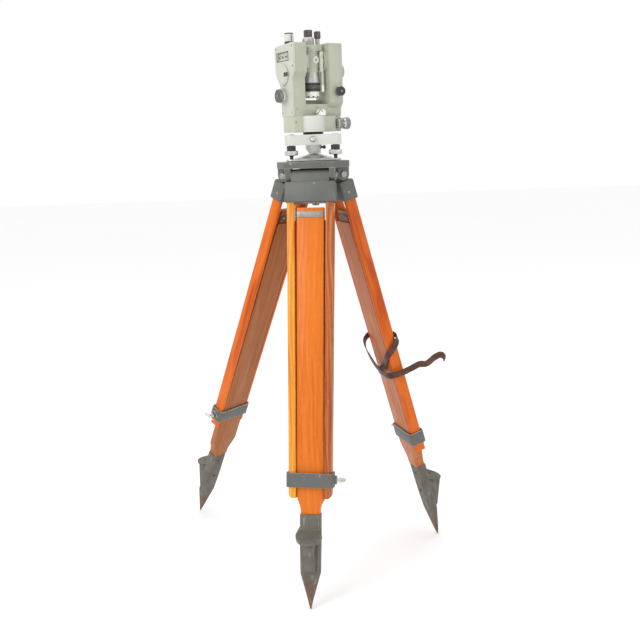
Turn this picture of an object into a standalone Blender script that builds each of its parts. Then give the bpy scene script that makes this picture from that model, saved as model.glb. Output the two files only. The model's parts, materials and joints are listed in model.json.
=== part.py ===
# Optical theodolite (two-axis surveying instrument) standing on a wooden
# extension-leg tripod.  Metres, +Z up, the floor is z = 0, the three steel
# points of the shoes stand on it.
#
# Frames used below
#   instrument frame  vertical axis of the instrument, world heights
#   alidade frame     the same axis, turned by ALIDADE_TURN; +X along the
#                     trunnion axis, -Y the side of the eyepieces' user
#   side frame        one per leg: origin on the leg's hinge axis, +X along the
#                     hinge, -Y pointing away from the instrument axis, +Z up
#   leg frame         the side frame swung outward by the leg's spread
#   foot frame        the leg frame with its origin at the steel point

import bpy
import bmesh
import math
from mathutils import Matrix, Vector

# ------------------------------------------------------------------ dimensions
AXIS_X = 0.03363           # instrument axis, placed so that the whole
AXIS_Y = -0.01572          # object's bounding box is centred on the origin
GAP = 0.0003              # running gap between touching pieces
DETAIL = 0.6              # share of the listed segments used on round pieces

# tripod
HINGE_Z = 0.914           # height of the leg hinges
HINGE_R = 0.047           # hinge axis to instrument axis
FRONT_AZ = math.radians(-8.4)     # direction of the front leg, from -Y
SIDES = {"front": 0.0, "left": -120.0, "right": 120.0}
INSTRUMENT_SIZE = 0.825   # the instrument is drawn 1/0.825 too large and set to size
#                           about the top of the tripod head by its own frame
SPREAD = {"front": 12.0, "left": 24.2, "right": 15.3}     # degrees
CLAMP_D = 0.655           # hinge to clamp centre along the leg
STILE_W, STILE_T0, STILE_T1 = 0.017, -0.015, 0.013
STILE_TOP, STILE_END = -0.0238, -0.694
STILE_X_END = 0.0385      # stile centre line at its lower end
STILE_X_TOP = 0.0432      # stile centre line at the leg head
TIP_R = 0.0015            # half width of the worn steel point
SHOE_H = 0.205            # point to the rim of the shoe
BOARD_TOP = {"front": 0.864, "left": 0.914, "right": 0.864}   # point to top of board
CORE_HALF, WING_HALF = 0.0292, 0.0382
HEAD_TOP, HEAD_LOW = 0.9440, 0.9300
LUG_IN, LUG_OUT, LUG_R = 0.0420, 0.0547, 0.0130

# tribrach
FOOT_SCREW_R = 0.067      # foot screws on this circle
TRIB_LOW, TRIB_TOP = 0.9860, 1.0130

# alidade
ALIDADE_TURN = math.radians(32.0)
BASE_LOW, BASE_TOP = 1.0195, 1.0600
FLOOR_TOP = 1.0895        # floor between the standards
STD_TOP = 1.2430          # top of the standards
STD_IN, STD_SEAM, STD_OUT = 0.0335, 0.0660, 0.0730
TRUNNION_Z = 1.1985

# ------------------------------------------------------------------ clean start
for ob in list(bpy.data.objects):
    bpy.data.objects.remove(ob, do_unlink=True)

parts = bpy.data.collections.new("optical_theodolite_on_tripod")
bpy.context.scene.collection.children.link(parts)
guides = bpy.data.collections.new("cutters")
bpy.context.scene.collection.children.link(guides)

# ------------------------------------------------------------------ materials
FINISH = {
    "cream_enamel": ((0.52, 0.52, 0.43), 0.42, 0.0),
    "pale_enamel": ((0.68, 0.68, 0.60), 0.38, 0.0),
    "white_enamel": ((0.85, 0.85, 0.82), 0.35, 0.0),
    "grey_enamel": ((0.155, 0.165, 0.15), 0.55, 0.0),
    "black_enamel": ((0.03, 0.03, 0.03), 0.45, 0.0),
    "knurled_black": ((0.09, 0.08, 0.07), 0.6, 0.2),
    "chrome": ((0.75, 0.75, 0.74), 0.18, 1.0),
    "steel": ((0.55, 0.55, 0.53), 0.32, 1.0),
    "brass": ((0.75, 0.55, 0.25), 0.3, 1.0),
    "iron": ((0.16, 0.145, 0.125), 0.65, 0.6),
    "stile_wood": ((0.72, 0.25, 0.03), 0.35, 0.0),
    "board_wood": ((0.76, 0.30, 0.06), 0.38, 0.0),
    "glass": ((0.75, 0.85, 0.86), 0.05, 0.0),
    "leather": ((0.11, 0.05, 0.035), 0.6, 0.0),
}


def finish(ob, kind):
    rgb, rough, metal = FINISH[kind]
    m = bpy.data.materials.new(ob.name + "_finish")
    m.use_nodes = True
    b = m.node_tree.nodes["Principled BSDF"]
    b.inputs["Base Color"].default_value = (*rgb, 1.0)
    b.inputs["Roughness"].default_value = rough
    b.inputs["Metallic"].default_value = metal
    ob.data.materials.clear()
    ob.data.materials.append(m)


# ------------------------------------------------------------------ helpers
def empty(name, loc, rot=(0, 0, 0), parent=None):
    e = bpy.data.objects.new(name, None)
    parts.objects.link(e)
    e.location = loc
    e.rotation_euler = rot
    e.parent = parent
    return e


def add(name, mesh, parent, kind, loc=(0, 0, 0), rot=(0, 0, 0)):
    """A visible piece when kind is given, else a hidden cutter or filler."""
    ob = bpy.data.objects.new(name, mesh)
    (parts if kind else guides).objects.link(ob)
    ob.parent = parent
    ob.location = loc
    ob.rotation_euler = rot
    if kind:
        finish(ob, kind)
    else:
        ob.hide_render = True
        ob.display_type = 'WIRE'
    return ob


def smooth(mesh, angle=35):
    mesh.shade_smooth()
    mesh.set_sharp_from_angle(angle=math.radians(angle))


def box_mesh(name, x0, x1, y0, y1, z0, z1, bevel=0.0, seg=2):
    bm = bmesh.new()
    bmesh.ops.create_cube(bm, size=1.0)
    for v in bm.verts:
        v.co = Vector((x0 + (v.co.x + 0.5) * (x1 - x0),
                       y0 + (v.co.y + 0.5) * (y1 - y0),
                       z0 + (v.co.z + 0.5) * (z1 - z0)))
    if bevel:
        bmesh.ops.bevel(bm, geom=list(bm.edges), offset=bevel, segments=seg,
                        profile=0.5, affect='EDGES')
    me = bpy.data.meshes.new(name)
    bm.to_mesh(me)
    bm.free()
    if bevel:
        smooth(me)
    return me


AXIS_ROT = {"Z": Matrix.Identity(4),
            "X": Matrix.Rotation(math.radians(90), 4, 'Y'),
            "Y": Matrix.Rotation(math.radians(-90), 4, 'X')}


def cyl_mesh(name, r, a0, a1, axis="Z", centre=(0, 0, 0), seg=32, r1=None):
    """Cylinder or cone from a0 to a1 along an axis through centre."""
    seg = max(12, round(seg * DETAIL))
    bm = bmesh.new()
    bmesh.ops.create_cone(bm, cap_ends=True, segments=seg, radius1=r,
                          radius2=r if r1 is None else r1, depth=a1 - a0)
    bmesh.ops.transform(bm, matrix=Matrix.Translation((0, 0, (a0 + a1) / 2)),
                        verts=bm.verts)
    bmesh.ops.transform(bm, matrix=Matrix.Translation(centre) @ AXIS_ROT[axis],
                        verts=bm.verts)
    me = bpy.data.meshes.new(name)
    bm.to_mesh(me)
    bm.free()
    smooth(me)
    return me


def turned(name, profile, parent, kind, loc=(0, 0, 0), rot=(0, 0, 0), seg=32,
           ring=False):
    """Turned piece: (radius, height) pairs down the outer side."""
    seg = max(12, round(seg * DETAIL))
    me = bpy.data.meshes.new(name)
    pts = [(r, 0.0, z) for r, z in profile]
    edges = [(i, i + 1) for i in range(len(pts) - 1)]
    if ring:
        edges.append((len(pts) - 1, 0))
    me.from_pydata(pts, edges, [])
    ob = add(name, me, parent, kind, loc, rot)
    s = ob.modifiers.new("turn", 'SCREW')
    s.axis = 'Z'
    s.steps = seg
    s.render_steps = seg
    s.use_merge_vertices = True
    s.merge_threshold = 0.00001
    s.use_smooth_shade = False
    return ob


def rounded(points, radii, seg=4):
    """Closed outline with each corner replaced by an arc."""
    out = []
    n = len(points)
    for i, p in enumerate(points):
        p = Vector(p)
        a = Vector(points[i - 1])
        b = Vector(points[(i + 1) % n])
        r = radii[i] if isinstance(radii, (list, tuple)) else radii
        if r <= 0:
            out.append((p.x, p.y))
            continue
        u = (a - p).normalized()
        v = (b - p).normalized()
        half = math.acos(max(-1, min(1, u.dot(v)))) / 2
        d = r / math.tan(half)
        c = p + (u + v).normalized() * (r / math.sin(half))
        s = p + u * d - c
        e = p + v * d - c
        turn = s.angle_signed(e)      # clockwise positive in mathutils
        for k in range(seg + 1):
            q = s.copy()
            q.rotate(Matrix.Rotation(-turn * k / seg, 2))
            out.append((c.x + q.x, c.y + q.y))
    return out


def outline_mesh(name, outline, low, high, plane="XY"):
    """Flat outline drawn as a filled curve and extruded from low to high."""
    cu = bpy.data.curves.new(name + "_outline", 'CURVE')
    cu.dimensions = '2D'
    cu.fill_mode = 'BOTH'
    cu.extrude = (high - low) / 2
    sp = cu.splines.new('POLY')
    sp.points.add(len(outline) - 1)
    for q, (x, y) in zip(sp.points, outline):
        q.co = (x, y, 0, 1)
    sp.use_cyclic_u = True
    tmp = bpy.data.objects.new(name + "_outline", cu)
    guides.objects.link(tmp)
    dg = bpy.context.evaluated_depsgraph_get()
    dg.update()
    me = bpy.data.meshes.new_from_object(tmp.evaluated_get(dg))
    bpy.data.objects.remove(tmp, do_unlink=True)
    bm = bmesh.new()
    bm.from_mesh(me)
    bmesh.ops.remove_doubles(bm, verts=bm.verts, dist=0.00001)
    mid = Matrix.Translation((0, 0, (low + high) / 2))
    # XY as drawn; XZ: outline y becomes height; YZ: outline x becomes depth
    turn = {"XY": Matrix.Identity(4),
            "XZ": Matrix(((1, 0, 0, 0), (0, 0, 1, 0), (0, 1, 0, 0), (0, 0, 0, 1))),
            "YZ": Matrix(((0, 0, 1, 0), (1, 0, 0, 0), (0, 1, 0, 0), (0, 0, 0, 1)))}[plane]
    bmesh.ops.transform(bm, matrix=turn @ mid, verts=bm.verts)
    bmesh.ops.recalc_face_normals(bm, faces=bm.faces)
    me.clear_geometry()
    bm.to_mesh(me)
    bm.free()
    me.name = name
    smooth(me)
    return me


def loft_mesh(name, rings):
    """Closed loft between cross sections that have the same point count."""
    bm = bmesh.new()
    rows = [[bm.verts.new(p) for p in ring] for ring in rings]
    n = len(rows[0])
    for a, b in zip(rows, rows[1:]):
        for i in range(n):
            bm.faces.new((a[i], a[(i + 1) % n], b[(i + 1) % n], b[i]))
    bm.faces.new(rows[0][::-1])
    bm.faces.new(rows[-1])
    bmesh.ops.recalc_face_normals(bm, faces=bm.faces)
    me = bpy.data.meshes.new(name)
    bm.to_mesh(me)
    bm.free()
    smooth(me, 30)
    return me


def boolean(ob, other, how):
    m = ob.modifiers.new(how.lower(), 'BOOLEAN')
    m.operation = how
    m.object = other


def cut(ob, mesh, parent=None, loc=(0, 0, 0), rot=(0, 0, 0)):
    boolean(ob, add(mesh.name, mesh, parent or ob.parent, None, loc, rot),
            'DIFFERENCE')


def join(ob, mesh, parent=None, loc=(0, 0, 0), rot=(0, 0, 0)):
    boolean(ob, add(mesh.name, mesh, parent or ob.parent, None, loc, rot),
            'UNION')


def bevel(ob, width, seg=2, angle=40):
    m = ob.modifiers.new("edges", 'BEVEL')
    m.width = width
    m.segments = seg
    m.limit_method = 'ANGLE'
    m.angle_limit = math.radians(angle)


# ------------------------------------------------------------------ frames
instrument = empty("instrument_axis", (AXIS_X, AXIS_Y, 0))
station = empty("tribrach_base", (0, 0, HEAD_TOP * (1 - INSTRUMENT_SIZE)),
                parent=instrument)
station.scale = (INSTRUMENT_SIZE,) * 3
alidade = empty("alidade_axis", (0, 0, 0), (0, 0, ALIDADE_TURN), station)
telescope = empty("trunnion_axis", (0, 0, TRUNNION_Z), parent=alidade)


def leg_length(side):
    """Hinge to steel point, so that the point's lowest edge is at z = 0."""
    s = math.radians(SPREAD[side])
    return (HINGE_Z - TIP_R * math.sin(s)) / math.cos(s)


side_frame, leg_frame, foot_frame = {}, {}, {}
for side, az in SIDES.items():
    phi = FRONT_AZ + math.radians(az)
    turn = empty(side + "_side", (HINGE_R * math.sin(phi), -HINGE_R * math.cos(phi),
                                  HINGE_Z), (0, 0, phi), instrument)
    side_frame[side] = turn
    leg_frame[side] = empty(side + "_leg_hinge", (0, 0, 0),
                            (-math.radians(SPREAD[side]), 0, 0), turn)
    foot_frame[side] = empty(side + "_foot_point", (0, 0, -leg_length(side)),
                             parent=leg_frame[side])

# ------------------------------------------------------------------ tripod head
# Flat hexagon over three pairs of hinge lugs, hub in the middle.
corners = []
for side in ("front", "right", "left"):
    phi = FRONT_AZ + math.radians(SIDES[side])
    n = HINGE_R + LUG_R + 0.0012
    for t in (-LUG_OUT - 0.0012, LUG_OUT + 0.0012):
        corners.append((n * math.sin(phi) + t * math.cos(phi),
                        -n * math.cos(phi) + t * math.sin(phi)))
head = add("tripod_head", outline_mesh("tripod_head", rounded(corners, 0.004, 3),
                                       HEAD_LOW, HEAD_TOP), instrument, "grey_enamel")
join(head, cyl_mesh("head_hub", 0.033, 0.9165, 0.9310, seg=40))
for side in SIDES:
    for sg in (-1, 1):
        x0, x1 = sorted((sg * LUG_IN, sg * LUG_OUT))
        lug = outline_mesh("head_lug_" + side + str(sg), [
            (LUG_R * math.cos(a), LUG_R * math.sin(a)) for a in
            [math.pi + math.pi * k / 12 for k in range(13)]]
            + [(LUG_R, HEAD_LOW - HINGE_Z + 0.002), (-LUG_R, HEAD_LOW - HINGE_Z + 0.002)],
            x0, x1, "YZ")
        join(head, lug, side_frame[side])
for side in SIDES:
    cut(head, cyl_mesh("head_bolt_hole_" + side, 0.0053, -0.070, 0.070, "X", seg=20),
        side_frame[side])
cut(head, cyl_mesh("head_bore", 0.0085, 0.900, 0.960, seg=24))

for side in SIDES:
    turned("hinge_bolt_" + side, [(0, 0.0583), (0.0062, 0.0583), (0.0078, 0.0569),
                                  (0.0078, 0.0550), (0.0050, 0.0550),
                                  (0.0050, -0.0550), (0.0078, -0.0550),
                                  (0.0078, -0.0569), (0.0062, -0.0583), (0, -0.0583)],
           side_frame[side], "steel", rot=(0, math.radians(90), 0), seg=20)

# fixing screw that holds the tribrach down on the head
fix = turned("fixing_screw", [(0, 0.9490), (0.0058, 0.9490), (0.0065, 0.9482),
                              (0.0065, 0.9158), (0.0150, 0.9158), (0.0150, 0.9095),
                              (0.0175, 0.9080), (0.0175, 0.8800), (0.0155, 0.8760),
                              (0.0082, 0.8740), (0.0082, 0.8500), (0.0066, 0.8470),
                              (0, 0.8470)], instrument, "steel", seg=28)

# ------------------------------------------------------------------ legs
slant = math.atan((STILE_X_TOP - STILE_X_END) / (STILE_TOP - STILE_END))
for side in SIDES:
    leg, foot = leg_frame[side], foot_frame[side]

    # cast head of the leg: a knuckle between the lugs over a socket block
    cap = add("leg_head_" + side, box_mesh("leg_head_" + side, -0.055, 0.055, -0.019,
                                           0.0148, -0.0590, -0.0145, 0.0036, 2),
              leg, "grey_enamel")
    join(cap, box_mesh("knuckle_web_" + side, -0.0415, 0.0415, -0.0128, 0.0128,
                       -0.0300, -0.0003))
    join(cap, cyl_mesh("knuckle_" + side, 0.0130, -0.0417, 0.0417, "X", seg=28))
    cut(cap, cyl_mesh("knuckle_hole_" + side, 0.0054, -0.070, 0.070, "X", seg=20))
    for sg in (-1, 1):
        x0, x1 = sorted((sg * 0.0335, sg * 0.0525))
        cut(cap, box_mesh("stile_socket_" + side + str(sg), x0, x1, -0.0154, 0.0134,
                          -0.0700, STILE_TOP + 0.0004))

    # two wooden stiles, rebated on the inner side for the board
    for sg, word in ((-1, "a"), (1, "b")):
        h = STILE_W / 2
        section = rounded([(-h, STILE_T0), (h, STILE_T0), (h, STILE_T1),
                           (0.0005, STILE_T1), (0.0005, 0.003), (-h, 0.003)],
                          [0.0025, 0.0075, 0.004, 0.0006, 0, 0.0012], 4)
        if sg < 0:
            section = [(-x, y) for x, y in section][::-1]
        stile = add("stile_%s_%s" % (side, word),
                    outline_mesh("stile_%s_%s" % (side, word), section,
                                 STILE_END, STILE_TOP), leg, "stile_wood",
                    (sg * (STILE_X_END - math.tan(slant) * STILE_END), 0, 0),
                    (0, sg * slant, 0))
        # rounded lower end
        r = 0.010
        cut(stile, outline_mesh("stile_end_%s_%s" % (side, word), [
            (sg * (STILE_X_END + h + 0.004), STILE_END - 0.004),
            (sg * (STILE_X_END + h + 0.004), STILE_END + r)]
            + [(sg * (STILE_X_END + h + 0.0002 - r + r * math.cos(a)),
                STILE_END + r - r * math.sin(a))
               for a in [math.pi / 2 * k / 5 for k in range(6)]]
            + [(sg * (STILE_X_END + h - r), STILE_END - 0.004)],
            -0.03, 0.03, "XZ"), leg)

    # clamp band round both stiles, with the boss of its thumb screw
    zc = -CLAMP_D
    band = add("clamp_band_" + side, outline_mesh("clamp_band_" + side, rounded(
        [(-0.0515, -0.0195), (0.0515, -0.0195), (0.0515, 0.0182), (-0.0515, 0.0182)],
        0.008, 4), zc - 0.0155, zc + 0.0155), leg, "grey_enamel")
    join(band, cyl_mesh("clamp_boss_" + side, 0.0095, 0.0490, 0.0570, "X",
                        (0, 0, zc), 24))
    cut(band, box_mesh("clamp_window_" + side, -0.0482, 0.0482, -0.0157, 0.0144,
                       zc - 0.03, zc + 0.03))
    cut(band, cyl_mesh("clamp_thread_" + side, 0.0041, 0.0470, 0.0670, "X",
                       (0, 0, zc), 16))
    screw = add("clamp_screw_" + side, cyl_mesh("clamp_screw_" + side, 0.0037, 0.0486,
                                                0.0685, "X", seg=16),
                leg, "chrome", (0, 0, zc))
    wing = bmesh.new()
    bmesh.ops.create_uvsphere(wing, u_segments=14, v_segments=8, radius=1.0)
    bmesh.ops.transform(wing, matrix=Matrix.Translation((0.0725, 0, 0))
                        @ Matrix.Diagonal((0.0068, 0.0155, 0.0042, 1)), verts=wing.verts)
    wing_me = bpy.data.meshes.new("clamp_wing_" + side)
    wing.to_mesh(wing_me)
    wing.free()
    smooth(wing_me)
    join(screw, wing_me, leg, (0, 0, zc))

    # sliding board: a core between the stiles and wings behind them
    def waist(half, z_low, z_high, steps=6):
        pts = []
        for k in range(steps + 1):
            u = k / steps
            s = u * u * (3 - 2 * u)
            pts.append((0.0205 + (half - 0.0205) * s, z_low + (z_high - z_low) * u))
        return pts

    side_pts = [(0.0205, SHOE_H + GAP)] + waist(CORE_HALF, 0.213, 0.247)
    core = side_pts + [(CORE_HALF, BOARD_TOP[side])]
    core = core + [(-x, z) for x, z in core[::-1]]
    board = add("slide_board_" + side, outline_mesh("slide_board_" + side, core,
                                                    -0.0090, 0.0080, "XZ"),
                foot, "board_wood")
    wing_pts = [(0.0205, SHOE_H + GAP)] + waist(WING_HALF, 0.214, 0.256)
    wings = wing_pts + [(WING_HALF, BOARD_TOP[side] - 0.026)]
    wings = wings + [(-x, z) for x, z in wings[::-1]]
    join(board, outline_mesh("board_wings_" + side, wings, 0.0034, 0.0135, "XZ"))
    join(board, box_mesh("board_tenon_" + side, -0.0165, 0.0165, -0.0062, 0.0062,
                         0.145, 0.230))

    # steel shoe: socket, spade point, foot pedal with a rib below it
    def ring(w, y0, y1, z, c):
        return [(-w + c, y0, z), (w - c, y0, z), (w, y0 + c, z), (w, y1 - c, z),
                (w - c, y1, z), (-w + c, y1, z), (-w, y1 - c, z), (-w, y0 + c, z)]
    shoe = add("shoe_" + side, loft_mesh("shoe_" + side, [
        ring(TIP_R, -TIP_R, TIP_R, 0.0, 0.0006),
        ring(0.0052, -0.0050, 0.0042, 0.018, 0.0018),
        ring(0.0215, -0.0108, 0.0095, 0.078, 0.0035),
        ring(0.0222, -0.0118, 0.0118, 0.130, 0.0035),
        ring(0.0224, -0.0120, 0.0125, SHOE_H, 0.0030)]), foot, "iron")
    # pedal: round-ended plate that slopes down and outward from the shoe
    pedal = [(0.0285 * math.sin(a), -0.020 - 0.0265 * math.cos(a))
             for a in [math.pi / 2 * (k / 8 - 1) for k in range(17)]]
    pedal = pedal + [(0.0230, 0.004), (-0.0230, 0.004)]
    join(shoe, outline_mesh("pedal_" + side, pedal, -0.0085, 0.0),
         foot, (0, -0.0090, 0.1760), (math.radians(33), 0, 0))
    rib = [(-0.0060, 0.168), (-0.0400, 0.1420), (-0.0385, 0.1370),
           (-0.0180, 0.086), (-0.0110, 0.078), (-0.0060, 0.078)]
    join(shoe, outline_mesh("pedal_rib_" + side, rib, -0.0115, 0.0115, "YZ"), foot)
    cut(shoe, box_mesh("shoe_socket_" + side, -0.0169, 0.0169, -0.0066, 0.0066,
                       0.1446, 0.2300))

# ------------------------------------------------------------------ carrying strap
# Flat leather ribbon round the right leg; its route is given in the leg frame.
STRAP_W, STRAP_T = 0.0150, 0.0022
ROUTE = [  # position, outward direction of the ribbon's face
    ((0.0240, 0.0195, -0.4860), (0.0, 1.0, 0.0)),
    ((0.0080, 0.0195, -0.4770), (0.0, 1.0, 0.0)),
    ((-0.0200, 0.0185, -0.4580), (0.0, 1.0, 0.0)),
    ((-0.0420, 0.0180, -0.4370), (-0.2, 1.0, 0.0)),
    ((-0.0530, 0.0125, -0.4260), (-0.8, 0.6, 0.0)),
    ((-0.0560, 0.0000, -0.4165), (-1.0, 0.1, 0.0)),
    ((-0.0545, -0.0140, -0.4040), (-0.95, -0.3, 0.0)),
    ((-0.0430, -0.0212, -0.3965), (-0.3, -1.0, 0.0)),
    ((-0.0150, -0.0205, -0.3940), (0.0, -1.0, 0.0)),
    ((0.0200, -0.0200, -0.3935), (0.0, -1.0, 0.0)),
    ((0.0440, -0.0198, -0.3950), (0.1, -1.0, 0.0)),
    ((0.0545, -0.0120, -0.3975), (0.9, -0.5, 0.0)),
    ((0.0565, 0.0050, -0.4010), (1.0, 0.1, 0.0)),
    ((0.0560, 0.0200, -0.4075), (0.9, 0.4, 0.2)),
    ((0.0520, 0.0270, -0.4200), (0.6, 0.8, 0.1)),
    ((0.0430, 0.0285, -0.4400), (0.2, 1.0, 0.0)),
    ((0.0230, 0.0285, -0.4605), (0.0, 1.0, 0.0)),
    ((-0.0020, 0.0285, -0.4745), (0.0, 1.0, 0.0)),
    ((-0.0280, 0.0285, -0.4790), (0.0, 1.0, 0.0)),
    ((-0.0490, 0.0260, -0.4785), (-0.4, 0.9, 0.0)),
    ((-0.0610, 0.0130, -0.4775), (-0.9, 0.45, 0.0)),
    ((-0.0650, -0.0080, -0.4770), (-1.0, 0.1, 0.0)),
    ((-0.0660, -0.0290, -0.4755), (-1.0, 0.0, 0.0)),
    ((-0.0665, -0.0475, -0.4740), (-1.0, 0.0, 0.1)),
    ((-0.0670, -0.0660, -0.4795), (-1.0, 0.1, 0.0)),
    ((-0.0680, -0.0870, -0.4730), (-1.0, 0.0, 0.1)),
    ((-0.0690, -0.1030, -0.4715), (-1.0, -0.1, 0.2)),
    ((-0.0690, -0.1120, -0.4800), (-0.9, -0.5, 0.2)),
    ((-0.0660, -0.1120, -0.4905), (-0.7, -0.7, 0.0)),
]


def spline(values, u):
    """Catmull-Rom through the values at parameter u."""
    i = min(int(u), len(values) - 2)
    f = u - i
    p0 = Vector(values[max(i - 1, 0)])
    p1, p2 = Vector(values[i]), Vector(values[i + 1])
    p3 = Vector(values[min(i + 2, len(values) - 1)])
    return 0.5 * ((2 * p1) + (p2 - p0) * f + (2 * p0 - 5 * p1 + 4 * p2 - p3) * f * f
                  + (3 * p1 - p0 - 3 * p2 + p3) * f ** 3)


def ribbon_mesh(name, route, width, thick, steps):
    pos = [r[0] for r in route]
    nor = [r[1] for r in route]
    rings = []
    last = len(route) - 1
    for k in range(steps + 1):
        u = last * k / steps
        p = spline(pos, u)
        t = (spline(pos, min(u + 0.02, last)) - spline(pos, max(u - 0.02, 0))).normalized()
        n = spline(nor, u)
        n = (n - t * n.dot(t)).normalized()
        w = t.cross(n)
        rings.append([p + w * (a * width / 2) + n * (b * thick / 2)
                      for a, b in ((-1, -1), (1, -1), (1, 1), (-1, 1))])
    return loft_mesh(name, rings)


add("strap_leather", ribbon_mesh("strap_leather", ROUTE, STRAP_W, STRAP_T, 60),
    leg_frame["right"], "leather")
# square frame buckle lying on the strap's fixed end
BUCKLE_AT = (0.0165, 0.0225, -0.4820)
BUCKLE_TURN = (math.radians(90), math.radians(27.5), 0)
buckle = add("strap_buckle", box_mesh("strap_buckle", -0.0085, 0.0085, -0.0105,
                                      0.0105, -0.0012, 0.0012, 0.0006, 1),
             leg_frame["right"], "chrome", BUCKLE_AT, BUCKLE_TURN)
cut(buckle, box_mesh("buckle_window", -0.0058, 0.0058, -0.0080, 0.0080, -0.003, 0.003),
    leg_frame["right"], BUCKLE_AT, BUCKLE_TURN)

# ------------------------------------------------------------------ tribrach
SCREW_AT = {"a": math.radians(-60), "b": math.radians(60), "c": math.radians(180)}


def tri_outline(r, reach=FOOT_SCREW_R, seg=6):
    pts = []
    for az in sorted(SCREW_AT.values()):
        cx, cy = reach * math.sin(az), -reach * math.cos(az)
        for k in range(seg + 1):
            a = az - math.radians(60) + math.radians(120) * k / seg
            pts.append((cx + r * math.sin(a), cy - r * math.cos(a)))
    return pts


plate = add("base_plate", outline_mesh("base_plate", tri_outline(0.0140),
                                       HEAD_TOP + GAP, HEAD_TOP + 0.0063),
            station, "steel")
cut(plate, cyl_mesh("base_plate_bore", 0.0082, 0.93, 0.96, seg=24))
body = add("tribrach_body", outline_mesh("tribrach_body", tri_outline(0.0165),
                                         TRIB_LOW, TRIB_TOP), station, "cream_enamel")
join(body, cyl_mesh("tribrach_boss", 0.0130, 0.9650, 0.9755, seg=32, r1=0.0215))
join(body, cyl_mesh("tribrach_boss_top", 0.0215, 0.9755, 0.9870, seg=32))
cut(body, cyl_mesh("spindle_socket", 0.0124, 0.9945, 1.0300, seg=32))
for key, az in SCREW_AT.items():
    at = (FOOT_SCREW_R * math.sin(az), -FOOT_SCREW_R * math.cos(az), 0)
    cut(plate, cyl_mesh("screw_seat_" + key, 0.0054, 0.9470, 0.9600, centre=at, seg=20))
    cut(body, cyl_mesh("screw_thread_" + key, 0.0064, 0.9700, 1.0085, centre=at, seg=20))
    turned("foot_screw_" + key, [
        (0, 1.0075), (0.0060, 1.0075), (0.0060, 0.9852), (0.0118, 0.9852),
        (0.0118, 0.9728), (0.0160, 0.9726), (0.0175, 0.9708), (0.0175, 0.9620),
        (0.0155, 0.9600), (0.0062, 0.9597), (0.0048, 0.9560), (0.0048, 0.9490),
        (0.0030, 0.9474), (0, 0.9474)], station, "steel", at, seg=28)
cut(body, cyl_mesh("lock_hole", 0.0043, -0.0600, -0.0395, "Y", (0, 0, 1.0005), 16))
turned("spring_plate", [(0.0100, 0.9622), (0.0240, 0.9602), (0.0440, 0.9548),
                        (0.0520, 0.9520), (0.0520, 0.9507), (0.0440, 0.9531),
                        (0.0240, 0.9585), (0.0100, 0.9606)], station, "steel",
       seg=36, ring=True)
lock = turned("tribrach_lock_screw", [
    (0, 0.0645), (0.0038, 0.0636), (0.0064, 0.0612), (0.0074, 0.0578), (0.0064, 0.0544),
    (0.0040, 0.0520), (0.0039, 0.0402), (0, 0.0402)], station, "chrome",
    (0, 0, 1.0005), (math.radians(90), 0, 0), seg=20)
turned("spindle", [(0, 1.0585), (0.0112, 1.0585), (0.0120, 1.0575), (0.0120, 1.0188),
                   (0.0272, 1.0188), (0.0272, 1.0135), (0.0120, 1.0135),
                   (0.0120, 0.9955), (0, 0.9955)], station, "black_enamel", seg=32)
turned("horizontal_circle", [(0.01235, 1.0395), (0.0250, 1.0395), (0.0250, 1.0365),
                             (0.01235, 1.0365)], station, "glass", seg=36, ring=True)

# ------------------------------------------------------------------ alidade
base = add("base_cover", outline_mesh("base_cover", rounded([
    (-STD_OUT, -0.025), (STD_OUT, -0.025), (STD_OUT, 0.034), (-STD_OUT, 0.034)],
    [0.006, 0.003, 0.009, 0.009], 4), BASE_LOW, BASE_TOP), alidade, "cream_enamel")
join(base, cyl_mesh("circle_housing", 0.0335, BASE_LOW - 0.0003, BASE_TOP + 0.0002,
                    centre=(-0.0115, -0.0175, 0), seg=56))
join(base, outline_mesh("clamp_housing", rounded([
    (0.010, -0.020), (0.010, -0.0385), (0.0500, -0.0385), (0.0500, -0.020)],
    [0, 0.003, 0.005, 0], 4), BASE_LOW + 0.0004, BASE_TOP - 0.0004))
cut(base, cyl_mesh("base_bore", 0.0125, 1.010, 1.080, seg=32))
cut(base, cyl_mesh("circle_room", 0.0275, 1.0340, 1.080, seg=40))
turned("bearing_bush", [(0.01240, 1.0590), (0.0170, 1.0590), (0.0170, 1.0440),
                        (0.01240, 1.0440)], alidade, "brass", seg=32, ring=True)
turned("setting_cap", [(0, 1.0765), (0.0110, 1.0765), (0.0125, 1.0750),
                       (0.0125, 1.0608), (0, 1.0608)], alidade, "pale_enamel",
       (0.0040, -0.0380, 0), seg=28)

# side profiles of the two standards, as (depth, height)
LEFT_SIDE = ([(-0.038, STD_TOP), (-0.038, 1.1720), (-0.025, 1.1550),
              (-0.025, BASE_TOP + GAP), (0.034, BASE_TOP + GAP), (0.034, 1.1330),
              (0.060, 1.1720), (0.062, STD_TOP - 0.004)],
             [0.004, 0.010, 0.010, 0.0, 0.0, 0.020, 0.020, 0.014])
RIGHT_SIDE = ([(-0.038, STD_TOP), (-0.038, FLOOR_TOP + 0.004), (-0.0255, FLOOR_TOP - 0.010),
               (-0.0255, BASE_TOP + GAP), (0.034, BASE_TOP + GAP), (0.034, 1.1330),
               (0.046, 1.1620), (0.046, STD_TOP)],
              [0.004, 0.006, 0.006, 0.0, 0.0, 0.020, 0.016, 0.012])

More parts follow.
